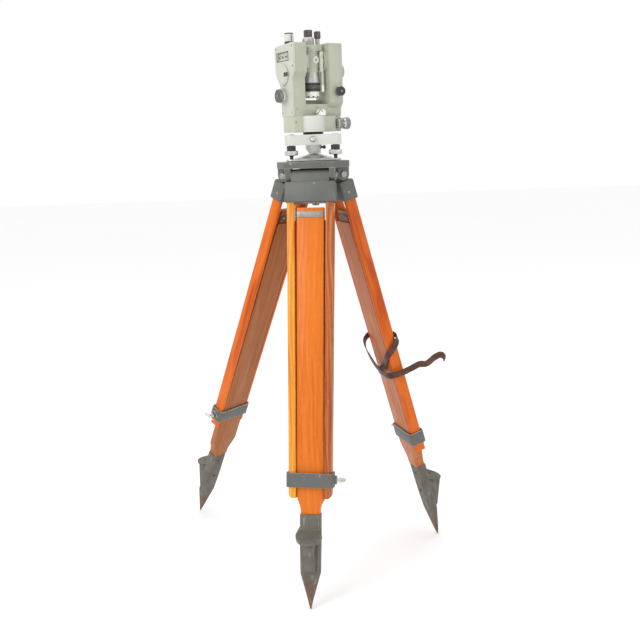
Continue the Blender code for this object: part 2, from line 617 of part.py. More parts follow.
yoke = add("yoke_frame", box_mesh("yoke_frame", -0.0655, 0.0655, -0.0245, 0.0335,
                                  BASE_TOP + GAP, FLOOR_TOP), alidade, "cream_enamel")
join(yoke, outline_mesh("left_standard", rounded(*LEFT_SIDE), -STD_SEAM, -STD_IN, "YZ"))
join(yoke, outline_mesh("right_standard", rounded(*RIGHT_SIDE), STD_IN, STD_SEAM, "YZ"))
join(yoke, box_mesh("rear_web", -0.0345, 0.0345, 0.0120, 0.0330,
                    FLOOR_TOP - 0.004, 1.1020, 0.002, 2))
left_room = [(0.0365 * math.cos(a), TRUNNION_Z + 0.0350 * math.sin(a))
             for a in [2 * math.pi * k / 28 for k in range(28)]]
cut(yoke, outline_mesh("left_room", left_room, -0.0700, -0.0400, "YZ"))
cut(yoke, box_mesh("right_room", 0.0400, 0.0700, -0.0300, 0.0300, 1.1000, 1.2340))
cut(yoke, box_mesh("vial_room", -0.0700, -0.0545, -0.0130, 0.0500, 1.1995, 1.2225))
for sg in (-1, 1):           # bearing flanges on the inner walls
    x0, x1 = sorted((sg * 0.0268, sg * 0.0345))
    join(yoke, cyl_mesh("bearing_flange" + str(sg), 0.0282, x0, x1, "X",
                        (0, 0, TRUNNION_Z), 40))
join(yoke, cyl_mesh("tangent_collar_core", 0.0060, -0.0455, -0.0320, "Y",
                    (0.0585, 0, 1.1210), 24))
join(yoke, cyl_mesh("tangent_collar", 0.0128, -0.0460, -0.0384, "Y",
                    (0.0585, 0, 1.1210), 32))
cut(yoke, cyl_mesh("trunnion_bores", 0.0094, -0.060, 0.060, "X", (0, 0, TRUNNION_Z), 28))

lc = add("left_cover", outline_mesh("left_cover", rounded(*LEFT_SIDE), -STD_OUT,
                                    -STD_SEAM - GAP, "YZ"), alidade, "cream_enamel")
cut(lc, box_mesh("vial_window", -0.0800, -0.0600, -0.0110, 0.0480, 1.2010, 1.2210))
join(lc, cyl_mesh("clamp_collar", 0.0184, -0.0850, -0.0700, "X",
                  (0, 0.0150, 1.1130), 36))
rc = add("right_cover", outline_mesh("right_cover", rounded(*RIGHT_SIDE),
                                     STD_SEAM + GAP, STD_OUT, "YZ"),
         alidade, "cream_enamel")
turned("index_level_vial", [(0, 0.0475), (0.0030, 0.0475), (0.0056, 0.0450),
                            (0.0056, -0.0080), (0.0030, -0.0105), (0, -0.0105)],
       alidade, "glass", (-0.0625, 0, 1.2110), (math.radians(-90), 0, 0), seg=20)
turned("level_prism", [(0, 1.2700), (0.0115, 1.2700), (0.0122, 1.2690),
                       (0.0122, 1.2445), (0.0112, 1.2433), (0, 1.2433)], alidade,
       "pale_enamel", (-0.0540, 0.0140, 0), seg=28)
turned("illumination_mirror", [(0, 0.0030), (0.0250, 0.0030), (0.0268, 0.0018),
                               (0.0268, -0.0005), (0, -0.0005)], alidade,
       "cream_enamel", (-0.0738, 0.0170, 1.1660), (0, math.radians(-90), 0), seg=40)

# vertical circle on the left trunnion
turned("vertical_circle", [(0.00935, 0.0015), (0.0325, 0.0015), (0.0325, -0.0015),
                           (0.00935, -0.0015)], telescope, "glass", (-0.0500, 0, 0),
       (0, math.radians(90), 0), 40, True)

# telescope, hanging with its objective down
tube = add("telescope_body", box_mesh("telescope_body", -0.0218, 0.0218, -0.0150, 0.0150,
                                      -0.0170, 0.0170, 0.003, 2), telescope,
           "cream_enamel")
join(tube, cyl_mesh("tube", 0.0200, -0.0300, 0.0300, seg=40))
join(tube, cyl_mesh("shoulder", 0.0228, -0.0540, -0.0280, seg=40, r1=0.0200))
join(tube, cyl_mesh("collar", 0.0215, 0.0238, 0.0410, seg=40))
join(tube, box_mesh("collar_lug", 0.0080, 0.0268, -0.0180, 0.0080, 0.0240, 0.0408,
                    0.002, 1))
join(tube, cyl_mesh("trunnion_a", 0.0090, -0.0555, -0.0200, "X", seg=28))
join(tube, cyl_mesh("trunnion_b", 0.0090, 0.0200, 0.0520, "X", seg=28))
join(tube, cyl_mesh("reading_tube", 0.0060, 0.0400, 0.0570,
                    centre=(0.0205, -0.0040, 0), seg=24))
turned("objective_barrel", [(0, -0.0543), (0.0228, -0.0543), (0.0230, -0.0548),
                            (0.0230, -0.0762), (0, -0.0762)], telescope, "chrome",
       seg=40)
cell = turned("objective_cell", [(0.0158, -0.0765), (0.0202, -0.0765),
                                 (0.0202, -0.0905), (0.0192, -0.0915),
                                 (0.0158, -0.0915)], telescope, "white_enamel",
              seg=40, ring=True)
turned("objective_lens", [(0, -0.0790), (0.0154, -0.0790), (0.0154, -0.0845),
                          (0.0105, -0.0862), (0.0050, -0.0870), (0, -0.0871)],
       telescope, "glass", seg=32)
turned("focus_ring", [(0, 0.0610), (0.0108, 0.0610), (0.0150, 0.0560), (0.0155, 0.0545),
                      (0.0155, 0.0450), (0.0140, 0.0413), (0, 0.0413)], telescope,
       "pale_enamel", (-0.0050, 0, 0), seg=36)
turned("eyepiece_ring", [(0.0060, 0.0785), (0.0100, 0.0785), (0.0113, 0.0770),
                         (0.0113, 0.0640), (0.0100, 0.0613), (0.0060, 0.0613)],
       telescope, "knurled_black", (-0.0050, 0, 0), seg=32, ring=True)
turned("reading_eyepiece", [(0.0040, 0.0755), (0.0076, 0.0755), (0.0086, 0.0743),
                            (0.0086, 0.0590), (0.0076, 0.0575), (0.0040, 0.0575)],
       telescope, "knurled_black", (0.0205, -0.0040, 0), seg=28, ring=True)
sight = add("sight_tube", cyl_mesh("sight_tube", 0.0034, -0.0765, 0.0236,
                                   centre=(0.0232, -0.0190, 0), seg=20), telescope,
            "pale_enamel")
join(sight, box_mesh("sight_rail", 0.0150, 0.0232, -0.0246, -0.0165, -0.0280, 0.0232,
                     0.0012, 1))

# knobs: each turns about its own shaft
turned("vertical_clamp_knob", [(0, 0.0212), (0.0155, 0.0212), (0.0170, 0.0199),
                               (0.0170, 0.0123), (0, 0.0123)], alidade,
       "knurled_black", (-STD_OUT - GAP, 0.0150, 1.1130), (0, math.radians(-90), 0), 32)
turned("vertical_tangent_knob", [(0, 0.0175), (0.0108, 0.0175), (0.0122, 0.0160),
                                 (0.0122, 0.0083), (0, 0.0083)], alidade,
       "knurled_black", (0.0585, -0.0383, 1.1210), (math.radians(90), 0, 0), 32)
turned("micrometer_knob", [(0, 0.0200), (0.0160, 0.0200), (0.0184, 0.0175),
                           (0.0184, 0.0040), (0.0120, 0.0020), (0.0120, 0.0), (0, 0.0)],
       alidade, "cream_enamel", (STD_OUT + GAP, 0.0, 1.1740), (0, math.radians(90), 0), 36)
turned("horizontal_clamp_ring", [(0, 0.0155), (0.0120, 0.0155), (0.0134, 0.0140),
                                 (0.0134, 0.0), (0, 0.0)], alidade, "chrome",
       (0.0503, -0.0405, 1.0390), (0, math.radians(90), 0), 32)
turned("horizontal_tangent_knob", [(0, 0.0350), (0.0135, 0.0350), (0.0155, 0.0332),
                                   (0.0155, 0.0190), (0.0138, 0.0158), (0, 0.0158)],
       alidade, "chrome", (0.0503, -0.0405, 1.0390), (0, math.radians(90), 0), 32)
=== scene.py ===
import bpy
import bmesh
import json
import math
import random
from mathutils import Matrix, Vector

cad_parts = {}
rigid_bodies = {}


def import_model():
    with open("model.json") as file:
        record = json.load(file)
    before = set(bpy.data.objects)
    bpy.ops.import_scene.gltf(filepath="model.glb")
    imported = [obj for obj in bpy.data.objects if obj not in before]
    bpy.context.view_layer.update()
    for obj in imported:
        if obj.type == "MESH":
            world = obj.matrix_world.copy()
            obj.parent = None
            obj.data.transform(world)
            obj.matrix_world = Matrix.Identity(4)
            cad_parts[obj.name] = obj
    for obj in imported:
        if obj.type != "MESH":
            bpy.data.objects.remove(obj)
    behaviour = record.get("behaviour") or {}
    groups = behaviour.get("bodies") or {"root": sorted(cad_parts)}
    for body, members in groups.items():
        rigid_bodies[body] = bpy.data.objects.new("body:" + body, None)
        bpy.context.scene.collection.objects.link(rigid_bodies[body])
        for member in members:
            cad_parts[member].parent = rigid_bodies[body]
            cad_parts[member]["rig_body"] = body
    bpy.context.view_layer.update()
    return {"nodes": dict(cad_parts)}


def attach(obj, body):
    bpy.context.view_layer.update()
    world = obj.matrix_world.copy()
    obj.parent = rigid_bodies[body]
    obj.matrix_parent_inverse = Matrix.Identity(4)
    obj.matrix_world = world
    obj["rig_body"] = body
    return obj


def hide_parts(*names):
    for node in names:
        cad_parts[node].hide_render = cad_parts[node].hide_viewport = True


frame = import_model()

NODES = frame["nodes"]
BODY = {n: o["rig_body"] for n, o in NODES.items()}

# ------------------------------------------------------------------ frames
AXIS = (0.03363, -0.01572)
SIZE = 0.825
HEAD_TOP = 0.944
HINGE_Z, HINGE_R, CLAMP_D = 0.914, 0.047, 0.655
SIDES = {"front": -8.4, "left": -128.4, "right": 111.6}
SPREAD = {"front": 12.0, "left": 24.2, "right": 15.3}
BOARD_TOP = {"front": 0.864, "left": 0.914, "right": 0.864}
T, Rx, Ry, Rz = (Matrix.Translation, lambda a: Matrix.Rotation(a, 4, 'X'),
                 lambda a: Matrix.Rotation(a, 4, 'Y'), lambda a: Matrix.Rotation(a, 4, 'Z'))
INST = T((AXIS[0], AXIS[1], 0))
STATION = INST @ T((0, 0, HEAD_TOP * (1 - SIZE))) @ Matrix.Scale(SIZE, 4)
ALIDADE = STATION @ Rz(math.radians(32))
TELE = ALIDADE @ T((0, 0, 1.1985))
SIDE, LEG, FOOT = {}, {}, {}
for s, az in SIDES.items():
    phi = math.radians(az)
    SIDE[s] = INST @ T((HINGE_R * math.sin(phi), -HINGE_R * math.cos(phi), HINGE_Z)) @ Rz(phi)
    LEG[s] = SIDE[s] @ Rx(-math.radians(SPREAD[s]))
    sp = math.radians(SPREAD[s])
    FOOT[s] = LEG[s] @ T((0, 0, -(HINGE_Z - 0.0015 * math.sin(sp)) / math.cos(sp)))


# ------------------------------------------------------------------ materials
class Mat:
    """A small helper to write node trees; values that are the same all over
    the surface are set on the shader's own sockets."""

    def __init__(self, name, **fixed):
        self.m = bpy.data.materials.new(name)
        self.m.use_nodes = True
        self.t = self.m.node_tree
        self.b = self.t.nodes["Principled BSDF"]
        for k, v in fixed.items():
            self.b.inputs[k.replace("_", " ")].default_value = v
        self._co = None

    def node(self, kind, *links, **props):
        n = self.t.nodes.new(kind)
        for k, v in props.items():
            setattr(n, k, v)
        for sock, val in links:
            self.put(n.inputs[sock], val)
        return n

    def put(self, sock, val):
        if isinstance(val, bpy.types.NodeSocket):
            self.t.links.new(val, sock)
        else:
            sock.default_value = val

    def co(self, scale=(1, 1, 1), jitter=True):
        if self._co is None:
            out = self.raw()
            if jitter:
                info = self.node("ShaderNodeObjectInfo")
                comb = self.node("ShaderNodeCombineXYZ", ("X", info.outputs["Random"]),
                                 ("Y", info.outputs["Random"]), ("Z", info.outputs["Random"]))
                sc = self.node("ShaderNodeVectorMath", (0, comb.outputs[0]),
                               operation='SCALE')
                sc.inputs["Scale"].default_value = 7.0
                ad = self.node("ShaderNodeVectorMath", (0, out), (1, sc.outputs[0]),
                               operation='ADD')
                out = ad.outputs[0]
            self._co = out
        if tuple(scale) == (1, 1, 1):
            return self._co
        mp = self.node("ShaderNodeMapping", ("Vector", self._co), ("Scale", scale))
        return mp.outputs[0]

    def raw(self):
        """Coordinates in the piece's own frame, kept with its vertices."""
        return self.node("ShaderNodeAttribute", attribute_name="local").outputs["Vector"]

    def noise(self, scale=1.0, vec=None, detail=4.0, rough=0.5, dist=0.0, stretch=(1, 1, 1)):
        n = self.node("ShaderNodeTexNoise", ("Vector", vec or self.co(stretch)),
                      ("Scale", scale), ("Detail", detail), ("Roughness", rough),
                      ("Distortion", dist))
        return n.outputs["Fac"]

    def voronoi(self, scale, stretch=(1, 1, 1), feature='F1', out="Distance"):
        n = self.node("ShaderNodeTexVoronoi", ("Vector", self.co(stretch)), ("Scale", scale),
                      feature=feature)
        return n.outputs[out]

    def ramp(self, fac, *stops, interp='LINEAR'):
        n = self.node("ShaderNodeValToRGB", ("Fac", fac))
        cr = n.color_ramp
        cr.interpolation = interp
        while len(cr.elements) < len(stops):
            cr.elements.new(0.5)
        for e, (p, c) in zip(cr.elements, stops):
            e.position = p
            e.color = (c, c, c, 1) if isinstance(c, (int, float)) else (*c, 1)
        return n.outputs["Color"]

    def span(self, val, a, b, c=0.0, d=1.0):
        n = self.node("ShaderNodeMapRange", ("Value", val), ("From Min", a), ("From Max", b),
                      ("To Min", c), ("To Max", d))
        n.clamp = True
        return n.outputs["Result"]

    def mix(self, fac, a, b, how='MIX'):
        n = self.t.nodes.new("ShaderNodeMix")
        n.data_type = 'RGBA'
        n.blend_type = how
        self.put(n.inputs[0], fac)
        for i, v in ((6, a), (7, b)):
            if isinstance(v, (tuple, list)):
                v = (*v[:3], 1)
            self.put(n.inputs[i], v)
        return n.outputs[2]

    def math(self, op, a, b=0.0, clamp=False):
        n = self.node("ShaderNodeMath", (0, a), (1, b), operation=op)
        n.use_clamp = clamp
        return n.outputs[0]

    def bump(self, height, strength=0.3, distance=0.001, normal=None):
        n = self.node("ShaderNodeBump", ("Height", height), ("Strength", strength),
                      ("Distance", distance))
        if normal is not None:
            self.put(n.inputs["Normal"], normal)
        return n.outputs["Normal"]

    def out(self, **links):
        for k, v in links.items():
            self.put(self.b.inputs[k.replace("_", " ")], v)
        return self.m


def enamel(name, base, rough=0.40, grime=0.10, peel=0.25, chips=0.0,
           under=(0.30, 0.28, 0.25), coat=0.15):
    """Sprayed stove enamel: slight mottling, orange peel, fine grime, chips."""
    m = Mat(name, Coat_Weight=coat, Coat_Roughness=0.25)
    d = lambda k: tuple(c * k for c in base)
    broad = m.noise(14, detail=3)
    tone = m.ramp(broad, (0.30, d(0.93)), (0.52, base), (0.74, d(1.05)))
    dirt = m.span(m.noise(75, detail=7, rough=0.7), 0.55, 0.80, 0.0, grime * 3)
    tone = m.mix(dirt, tone, (base[0] * 0.62, base[1] * 0.58, base[2] * 0.50))
    speck = m.span(m.noise(620, detail=3), 0.69, 0.73, 0.0, 0.55)
    tone = m.mix(speck, tone, d(0.45))
    fine = m.noise(1500, detail=2)
    wave = m.noise(420, detail=2)
    h = m.math('ADD', m.math('MULTIPLY', fine, 0.5), wave)
    links = {}
    if chips:
        c = m.noise(190, detail=6, rough=0.65)
        mask = m.span(c, 0.70 - chips * 0.12, 0.715 - chips * 0.12)
        tone = m.mix(mask, tone, under)
        links["Metallic"] = m.math('MULTIPLY', mask, 0.85)
        h = m.math('SUBTRACT', h, m.math('MULTIPLY', mask, 0.8))
    r = m.span(m.noise(45, detail=5), 0.3, 0.7, rough - 0.07, rough + 0.10)
    return m.out(Base_Color=tone, Roughness=r, Normal=m.bump(h, peel, 0.0006), **links)


def worn_edge(name, base, metal=(0.52, 0.50, 0.46), amount=0.5, rough=0.36, size=150):
    """Paint on an edge that has been rubbed through to the metal in places."""
    m = Mat(name)
    n = m.noise(size, detail=7, rough=0.65)
    fine = m.noise(size * 7, detail=3)
    n = m.math('ADD', m.math('MULTIPLY', n, 0.8), m.math('MULTIPLY', fine, 0.2))
    t = 0.62 - 0.24 * amount
    mask = m.span(n, t - 0.03, t + 0.04)
    tone = m.mix(mask, base, metal)
    broad = m.noise(20, detail=3)
    tone = m.mix(m.span(broad, 0.3, 0.7, 0.0, 0.16), tone, tuple(c * 0.6 for c in base))
    return m.out(Base_Color=tone, Metallic=m.math('MULTIPLY', mask, 0.9),
                 Roughness=m.span(fine, 0.3, 0.7, rough - 0.1, rough + 0.12),
                 Normal=m.bump(m.math('SUBTRACT', m.math('MULTIPLY', fine, 0.3), mask),
                               0.25, 0.0004))


def hammered(name, base, worn=0.25):
    """Hammer-finish paint on a casting, dulled and rubbed."""
    m = Mat(name, Coat_Weight=0.1, Coat_Roughness=0.35)
    cell = m.voronoi(330, feature='SMOOTH_F1')
    pit = m.span(cell, 0.0, 0.55)
    broad = m.noise(18, detail=4)
    tone = m.ramp(broad, (0.3, tuple(c * 0.80 for c in base)), (0.55, base),
                  (0.75, tuple(c * 1.22 for c in base)))
    tone = m.mix(m.span(cell, 0.15, 0.5, 0.0, 0.35), tone, tuple(c * 1.35 for c in base))
    rub = m.noise(85, detail=8, rough=0.7)
    mask = m.span(rub, 0.66 - worn * 0.12, 0.70 - worn * 0.12, 0.0, 0.9)
    tone = m.mix(mask, tone, (0.36, 0.34, 0.30))
    spot = m.span(m.noise(240, detail=5, rough=0.6), 0.66, 0.70, 0.0, 0.8)
    tone = m.mix(spot, tone, (0.10, 0.055, 0.03))
    h = m.math('SUBTRACT', m.math('MULTIPLY', pit, 0.9), m.math('MULTIPLY', mask, 0.4))
    return m.out(Base_Color=tone, Metallic=m.math('MULTIPLY', mask, 0.6),
                 Roughness=m.span(rub, 0.3, 0.7, 0.48, 0.62),
                 Normal=m.bump(h, 0.35, 0.0006))


def metal(name, base, rough=0.2, streak=(1, 1, 1), scale=900, tarnish=0.15,
          spot=(0.25, 0.22, 0.18), bumps=0.12):
    m = Mat(name, Metallic=1.0)
    fine = m.noise(scale, detail=3, stretch=streak)
    broad = m.noise(60, detail=6, rough=0.65)
    tone = m.mix(m.span(broad, 0.45, 0.75, 0.0, tarnish * 2), base,
                 tuple(c * 0.62 for c in base))
    pits = m.span(m.noise(480, detail=5, rough=0.6), 0.67, 0.71, 0.0, 0.7)
    tone = m.mix(pits, tone, spot)
    r = m.math('ADD', m.span(fine, 0.3, 0.7, rough - 0.05, rough + 0.08),
               m.math('MULTIPLY', pits, 0.3))
    return m.out(Base_Color=tone, Roughness=r, Normal=m.bump(fine, bumps, 0.0003))


def knurl_mat(name, base, crest, amount=0.6, metallic=0.0, rough=0.45):
    """Knurled grip: dark in the grooves, rubbed bright along the crests."""
    m = Mat(name)
    a = m.node("ShaderNodeAttribute", attribute_name="crest")
    n = m.noise(260, detail=6, rough=0.6)
    k = m.math('MULTIPLY', a.outputs["Fac"], m.span(n, 0.62 - amount * 0.35, 0.70))
    k2 = m.noise(1300, detail=3)
    tone = m.mix(k, base, crest)
    tone = m.mix(m.span(k2, 0.4, 0.7, 0.0, 0.25), tone, tuple(c * 0.6 for c in base))
    return m.out(Base_Color=tone, Metallic=m.math('MAXIMUM', m.math('MULTIPLY', k, 0.8),
                                                   metallic),
                 Roughness=m.span(k2, 0.3, 0.7, rough - 0.08, rough + 0.1),
                 Normal=m.bump(k2, 0.25, 0.0003))


def wood(name, dark, mid, light, figure=1.0, rough=0.34, coat=0.1, wear=0.3):
    """Varnished hardwood with its grain along the local Z axis."""
    m = Mat(name, Coat_Weight=coat, Coat_Roughness=0.16, Specular_IOR_Level=0.22)
    warp = m.noise(1.0, vec=m.co((9, 9, 2.1)), detail=3)
    wv = m.node("ShaderNodeVectorMath", (0, m.co((46, 46, 0.9))), operation='ADD')
    cmb = m.node("ShaderNodeCombineXYZ", ("X", m.math('MULTIPLY', warp, 4.5)),
                 ("Y", m.math('MULTIPLY', warp, 1.5)), ("Z", 0.0))
    m.put(wv.inputs[1], cmb.outputs[0])
    rings = m.node("ShaderNodeTexWave", ("Vector", wv.outputs[0]), ("Scale", 0.55),
                   ("Distortion", 2.2), ("Detail", 3.0), ("Detail Scale", 1.4),
                   wave_type='BANDS', bands_direction='X')
    band = m.span(rings.outputs["Fac"], 0.05, 0.95)
    body = m.noise(1.0, vec=m.co((85, 85, 2.6)), detail=9, rough=0.62, dist=0.5)
    pores = m.noise(1.0, vec=m.co((900, 900, 17)), detail=4, rough=0.6)
    fleck = m.noise(1.0, vec=m.co((420, 420, 60)), detail=3)
    t = m.math('ADD', m.math('MULTIPLY', body, 0.62), m.math('MULTIPLY', band, 0.24 * figure))
    t = m.math('ADD', t, m.math('MULTIPLY', m.noise(1.0, vec=m.co((7, 7, 3.4)), detail=2),
                                0.22))
    tone = m.ramp(t, (0.34, dark), (0.52, mid), (0.72, light))
    line = m.span(pores, 0.30, 0.43, 0.42, 0.0)
    tone = m.mix(line, tone, tuple(c * 0.38 for c in dark))
    pale = m.span(fleck, 0.63, 0.72, 0.0, 0.30)
    tone = m.mix(pale, tone, tuple(min(1, c * 1.35 + 0.01) for c in light))
    # knocks and scratches through the varnish
    kn = m.noise(1.0, vec=m.co((150, 150, 42)), detail=6, rough=0.7)
    knock = m.span(kn, 0.715 - wear * 0.05, 0.735 - wear * 0.05, 0.0, 0.8)
    tone = m.mix(knock, tone, tuple(c * 0.30 for c in dark))
    sc = m.noise(1.0, vec=m.co((620, 620, 3.2)), detail=2)
    scr = m.span(sc, 0.72, 0.75, 0.0, 0.45 * wear + 0.1)
    tone = m.mix(scr, tone, (0.80, 0.47, 0.20))
    h = m.math('SUBTRACT', m.math('MULTIPLY', body, 0.35), m.math('MULTIPLY', line, 0.8))
    h = m.math('SUBTRACT', h, m.math('MULTIPLY', knock, 1.2))
    r = m.math('ADD', m.span(m.noise(30, detail=5), 0.3, 0.7, rough - 0.07, rough + 0.09),
               m.math('MULTIPLY', knock, 0.3), clamp=True)
    return m.out(Base_Color=tone, Roughness=r, Normal=m.bump(h, 0.22, 0.0006))


def shoe_iron(name):
    """Painted malleable iron, rubbed along its length and rusted at the point."""
    m = Mat(name)
    z = m.node("ShaderNodeSeparateXYZ", ("Vector", m.raw())).outputs["Z"]
    n = m.noise(40, detail=7, rough=0.7)
    fine = m.noise(330, detail=6, rough=0.65)
    tone = m.ramp(n, (0.3, (0.080, 0.074, 0.060)), (0.52, (0.122, 0.114, 0.092)),
                  (0.75, (0.170, 0.158, 0.128)))
    zz = m.math('ADD', z, m.math('MULTIPLY', m.math('SUBTRACT', n, 0.5), 0.11))
    low = m.span(zz, 0.075, 0.018)
    rust = m.ramp(fine, (0.32, (0.045, 0.022, 0.013)), (0.5, (0.14, 0.066, 0.032)),
                  (0.7, (0.25, 0.135, 0.07)))
    tone = m.mix(low, tone, rust)
    spots = m.span(m.noise(120, detail=7, rough=0.7), 0.60, 0.68, 0.0, 0.75)
    tone = m.mix(spots, tone, (0.12, 0.06, 0.032))
    rub = m.span(m.noise(1.0, vec=m.co((130, 130, 24)), detail=5), 0.62, 0.70, 0.0, 0.7)
    tone = m.mix(rub, tone, (0.33, 0.31, 0.27))
    h = m.math('ADD', fine, m.math('MULTIPLY', n, 1.5))
    return m.out(Base_Color=tone, Metallic=m.math('MULTIPLY', rub, 0.7),
                 Roughness=m.span(fine, 0.3, 0.7, 0.50, 0.78),
                 Normal=m.bump(h, 0.45, 0.0009))


def leather_mat(name):
    m = Mat(name, Coat_Weight=0.06, Coat_Roughness=0.3, Specular_IOR_Level=0.3)
    n = m.noise(48, detail=6, rough=0.6)
    tone = m.ramp(n, (0.30, (0.052, 0.020, 0.013)), (0.52, (0.105, 0.040, 0.026)),
                  (0.74, (0.185, 0.080, 0.050)))
    cell = m.voronoi(1100, feature='DISTANCE_TO_EDGE')
    crease = m.span(cell, 0.0, 0.12, 1.0, 0.0)
    tone = m.mix(m.math('MULTIPLY', crease, 0.45), tone, (0.030, 0.012, 0.009))
    crack = m.span(m.noise(300, detail=7, rough=0.7), 0.63, 0.68, 0.0, 0.7)
    tone = m.mix(crack, tone, (0.21, 0.10, 0.06))
    h = m.math('SUBTRACT', m.noise(240, detail=5), m.math('MULTIPLY', crease, 0.5))
    return m.out(Base_Color=tone, Roughness=m.span(n, 0.3, 0.7, 0.34, 0.55),
                 Normal=m.bump(h, 0.5, 0.0006))


def glass_mat(name, tint, trans=0.75):
    m = Mat(name, IOR=1.52, Transmission_Weight=trans, Coat_Weight=0.7, Coat_Roughness=0.03)
    n = m.noise(160, detail=5, rough=0.6)
    smear = m.span(n, 0.5, 0.75, 0.0, 0.35)
    return m.out(Base_Color=m.mix(smear, tint, tuple(c * 0.8 + 0.05 for c in tint)),
                 Roughness=m.span(n, 0.45, 0.75, 0.02, 0.09))


CREAM = (0.415, 0.430, 0.340)
PALE = (0.59, 0.60, 0.545)
GREY = (0.100, 0.104, 0.094)
M = {
    "cream": enamel("enamel_cream", CREAM, chips=0.18),
    "cream_edge": worn_edge("enamel_cream_edge", tuple(c * 1.12 for c in CREAM), amount=0.18),
    "pale": enamel("enamel_pale", PALE, rough=0.36, chips=0.12),
    "pale_edge": worn_edge("enamel_pale_edge", PALE, amount=0.15),
    "side": enamel("enamel_side", (0.50, 0.515, 0.435), chips=0.14),
    "side_edge": worn_edge("enamel_side_edge", (0.55, 0.56, 0.48), amount=0.16),
    "base": enamel("enamel_base", (0.47, 0.475, 0.375), rough=0.36, chips=0.12),
    "face": enamel("knob_face", (0.105, 0.093, 0.082), rough=0.42, grime=0.12, coat=0.05,
                   chips=0.2),
    "satin": metal("chrome_satin", (0.52, 0.52, 0.49), rough=0.34, tarnish=0.2),
    "white": enamel("enamel_white", (0.80, 0.80, 0.76), rough=0.33, grime=0.06),
    "grey": hammered("casting_grey", GREY),
    "grey_edge": worn_edge("casting_edge", (0.15, 0.152, 0.138), metal=(0.62, 0.60, 0.56), amount=0.80),
    "black": enamel("enamel_black", (0.022, 0.022, 0.021), rough=0.38, grime=0.04,
                    under=(0.35, 0.33, 0.28), chips=0.15),
    "grip": knurl_mat("grip_dark", (0.050, 0.044, 0.040), (0.34, 0.31, 0.27)),
    "grip_chrome": knurl_mat("grip_chrome", (0.24, 0.235, 0.22), (0.72, 0.71, 0.68),
                             amount=1.0, metallic=0.9, rough=0.28),
    "grip_pale": knurl_mat("grip_pale", (0.42, 0.43, 0.37), (0.62, 0.62, 0.56), amount=0.9,
                           rough=0.4),
    "chrome": metal("chrome_matt", (0.60, 0.60, 0.575), rough=0.20),
    "steel": metal("steel_turned", (0.56, 0.555, 0.525), rough=0.30, tarnish=0.25),
    "bolt": metal("steel_dulled", (0.34, 0.335, 0.31), rough=0.42, tarnish=0.4, bumps=0.3),
    "dark_steel": metal("steel_dark", (0.115, 0.11, 0.10), rough=0.45, tarnish=0.3,
                        spot=(0.14, 0.07, 0.04), bumps=0.3),
    "brass": metal("brass_aged", (0.62, 0.45, 0.20), rough=0.28, tarnish=0.35),
    "stile": wood("wood_stile", (0.44, 0.060, 0.002), (0.63, 0.122, 0.004),
                  (0.74, 0.165, 0.010), wear=0.45, rough=0.30, coat=0.12, figure=0.6),
    # lighter, yellower copy of the stile wood: a painted highlight for the lit front stile
    "stile_gold": wood("wood_stile_painted_highlight", (0.66, 0.190, 0.012), (0.80, 0.330, 0.028),
                       (0.90, 0.450, 0.060), wear=0.5, rough=0.28, coat=0.14, figure=0.5),
    # darker, browner copy of the stile wood: painted shade for the front stile turned from the light
    "stile_brown": wood("wood_stile_painted_shade", (0.30, 0.062, 0.012), (0.43, 0.115, 0.026),
                        (0.62, 0.215, 0.060), wear=0.6, rough=0.30, coat=0.14, figure=0.7),
    # lighter wood for the rounded bevel faces: partly rubbed varnish, partly a painted highlight along
    # the edges
    "stile_edge_wear_and_highlight": wood("wood_stile_edge_wear_and_highlight", (0.46, 0.075, 0.005), (0.68, 0.150, 0.010),
                       (0.88, 0.300, 0.040), wear=0.9, rough=0.30, coat=0.15),
    "board": wood("wood_board", (0.60, 0.125, 0.006), (0.72, 0.175, 0.011),
                  (0.80, 0.225, 0.022), figure=0.35, wear=0.15, rough=0.36, coat=0.08),
    # darker, greyer copy of the board wood for the right leg: painted shade
    "board_right": wood("wood_board_painted_shade_right", (0.40, 0.120, 0.035), (0.49, 0.165, 0.055),
                        (0.58, 0.215, 0.080), figure=0.35, wear=0.2, rough=0.42, coat=0.05),
    # darker, greyer copy of the board wood for the left leg, whose face is turned from the key light:
    # painted shade
    "board_pale": wood("wood_board_painted_shade_left", (0.30, 0.095, 0.024), (0.37, 0.130, 0.036),
                       (0.47, 0.180, 0.058), figure=0.4, wear=0.35, rough=0.46, coat=0.05),
    "iron": shoe_iron("iron_shoe"),
    "iron_edge": worn_edge("iron_shoe_edge", (0.13, 0.118, 0.095), metal=(0.48, 0.45, 0.39),
                           amount=0.75, size=110),
    "leather": leather_mat("leather_strap"),
    "glass": glass_mat("glass_clear", (0.72, 0.76, 0.72)),
    "lens": glass_mat("glass_lens", (0.075, 0.080, 0.085), trans=0.35),
    "mirror": metal("mirror_silvered", (0.88, 0.89, 0.90), rough=0.07, tarnish=0.05,
                    bumps=0.02),
}


# ------------------------------------------------------------------ mesh helpers
def finish_mesh(ob, angle=32):
    """Applies the modifiers, then smooths with sharp edges kept."""
    if ob.modifiers:
        bpy.context.view_layer.update()
        dg = bpy.context.evaluated_depsgraph_get()
        me = bpy.data.meshes.new_from_object(ob.evaluated_get(dg), depsgraph=dg)
        old = ob.data
        ob.modifiers.clear()
        ob.data = me
        if not len(me.materials):
            for k in old.materials:
                me.materials.append(k)
    ob.data.shade_smooth()
    ob.data.set_sharp_from_angle(angle=math.radians(angle))


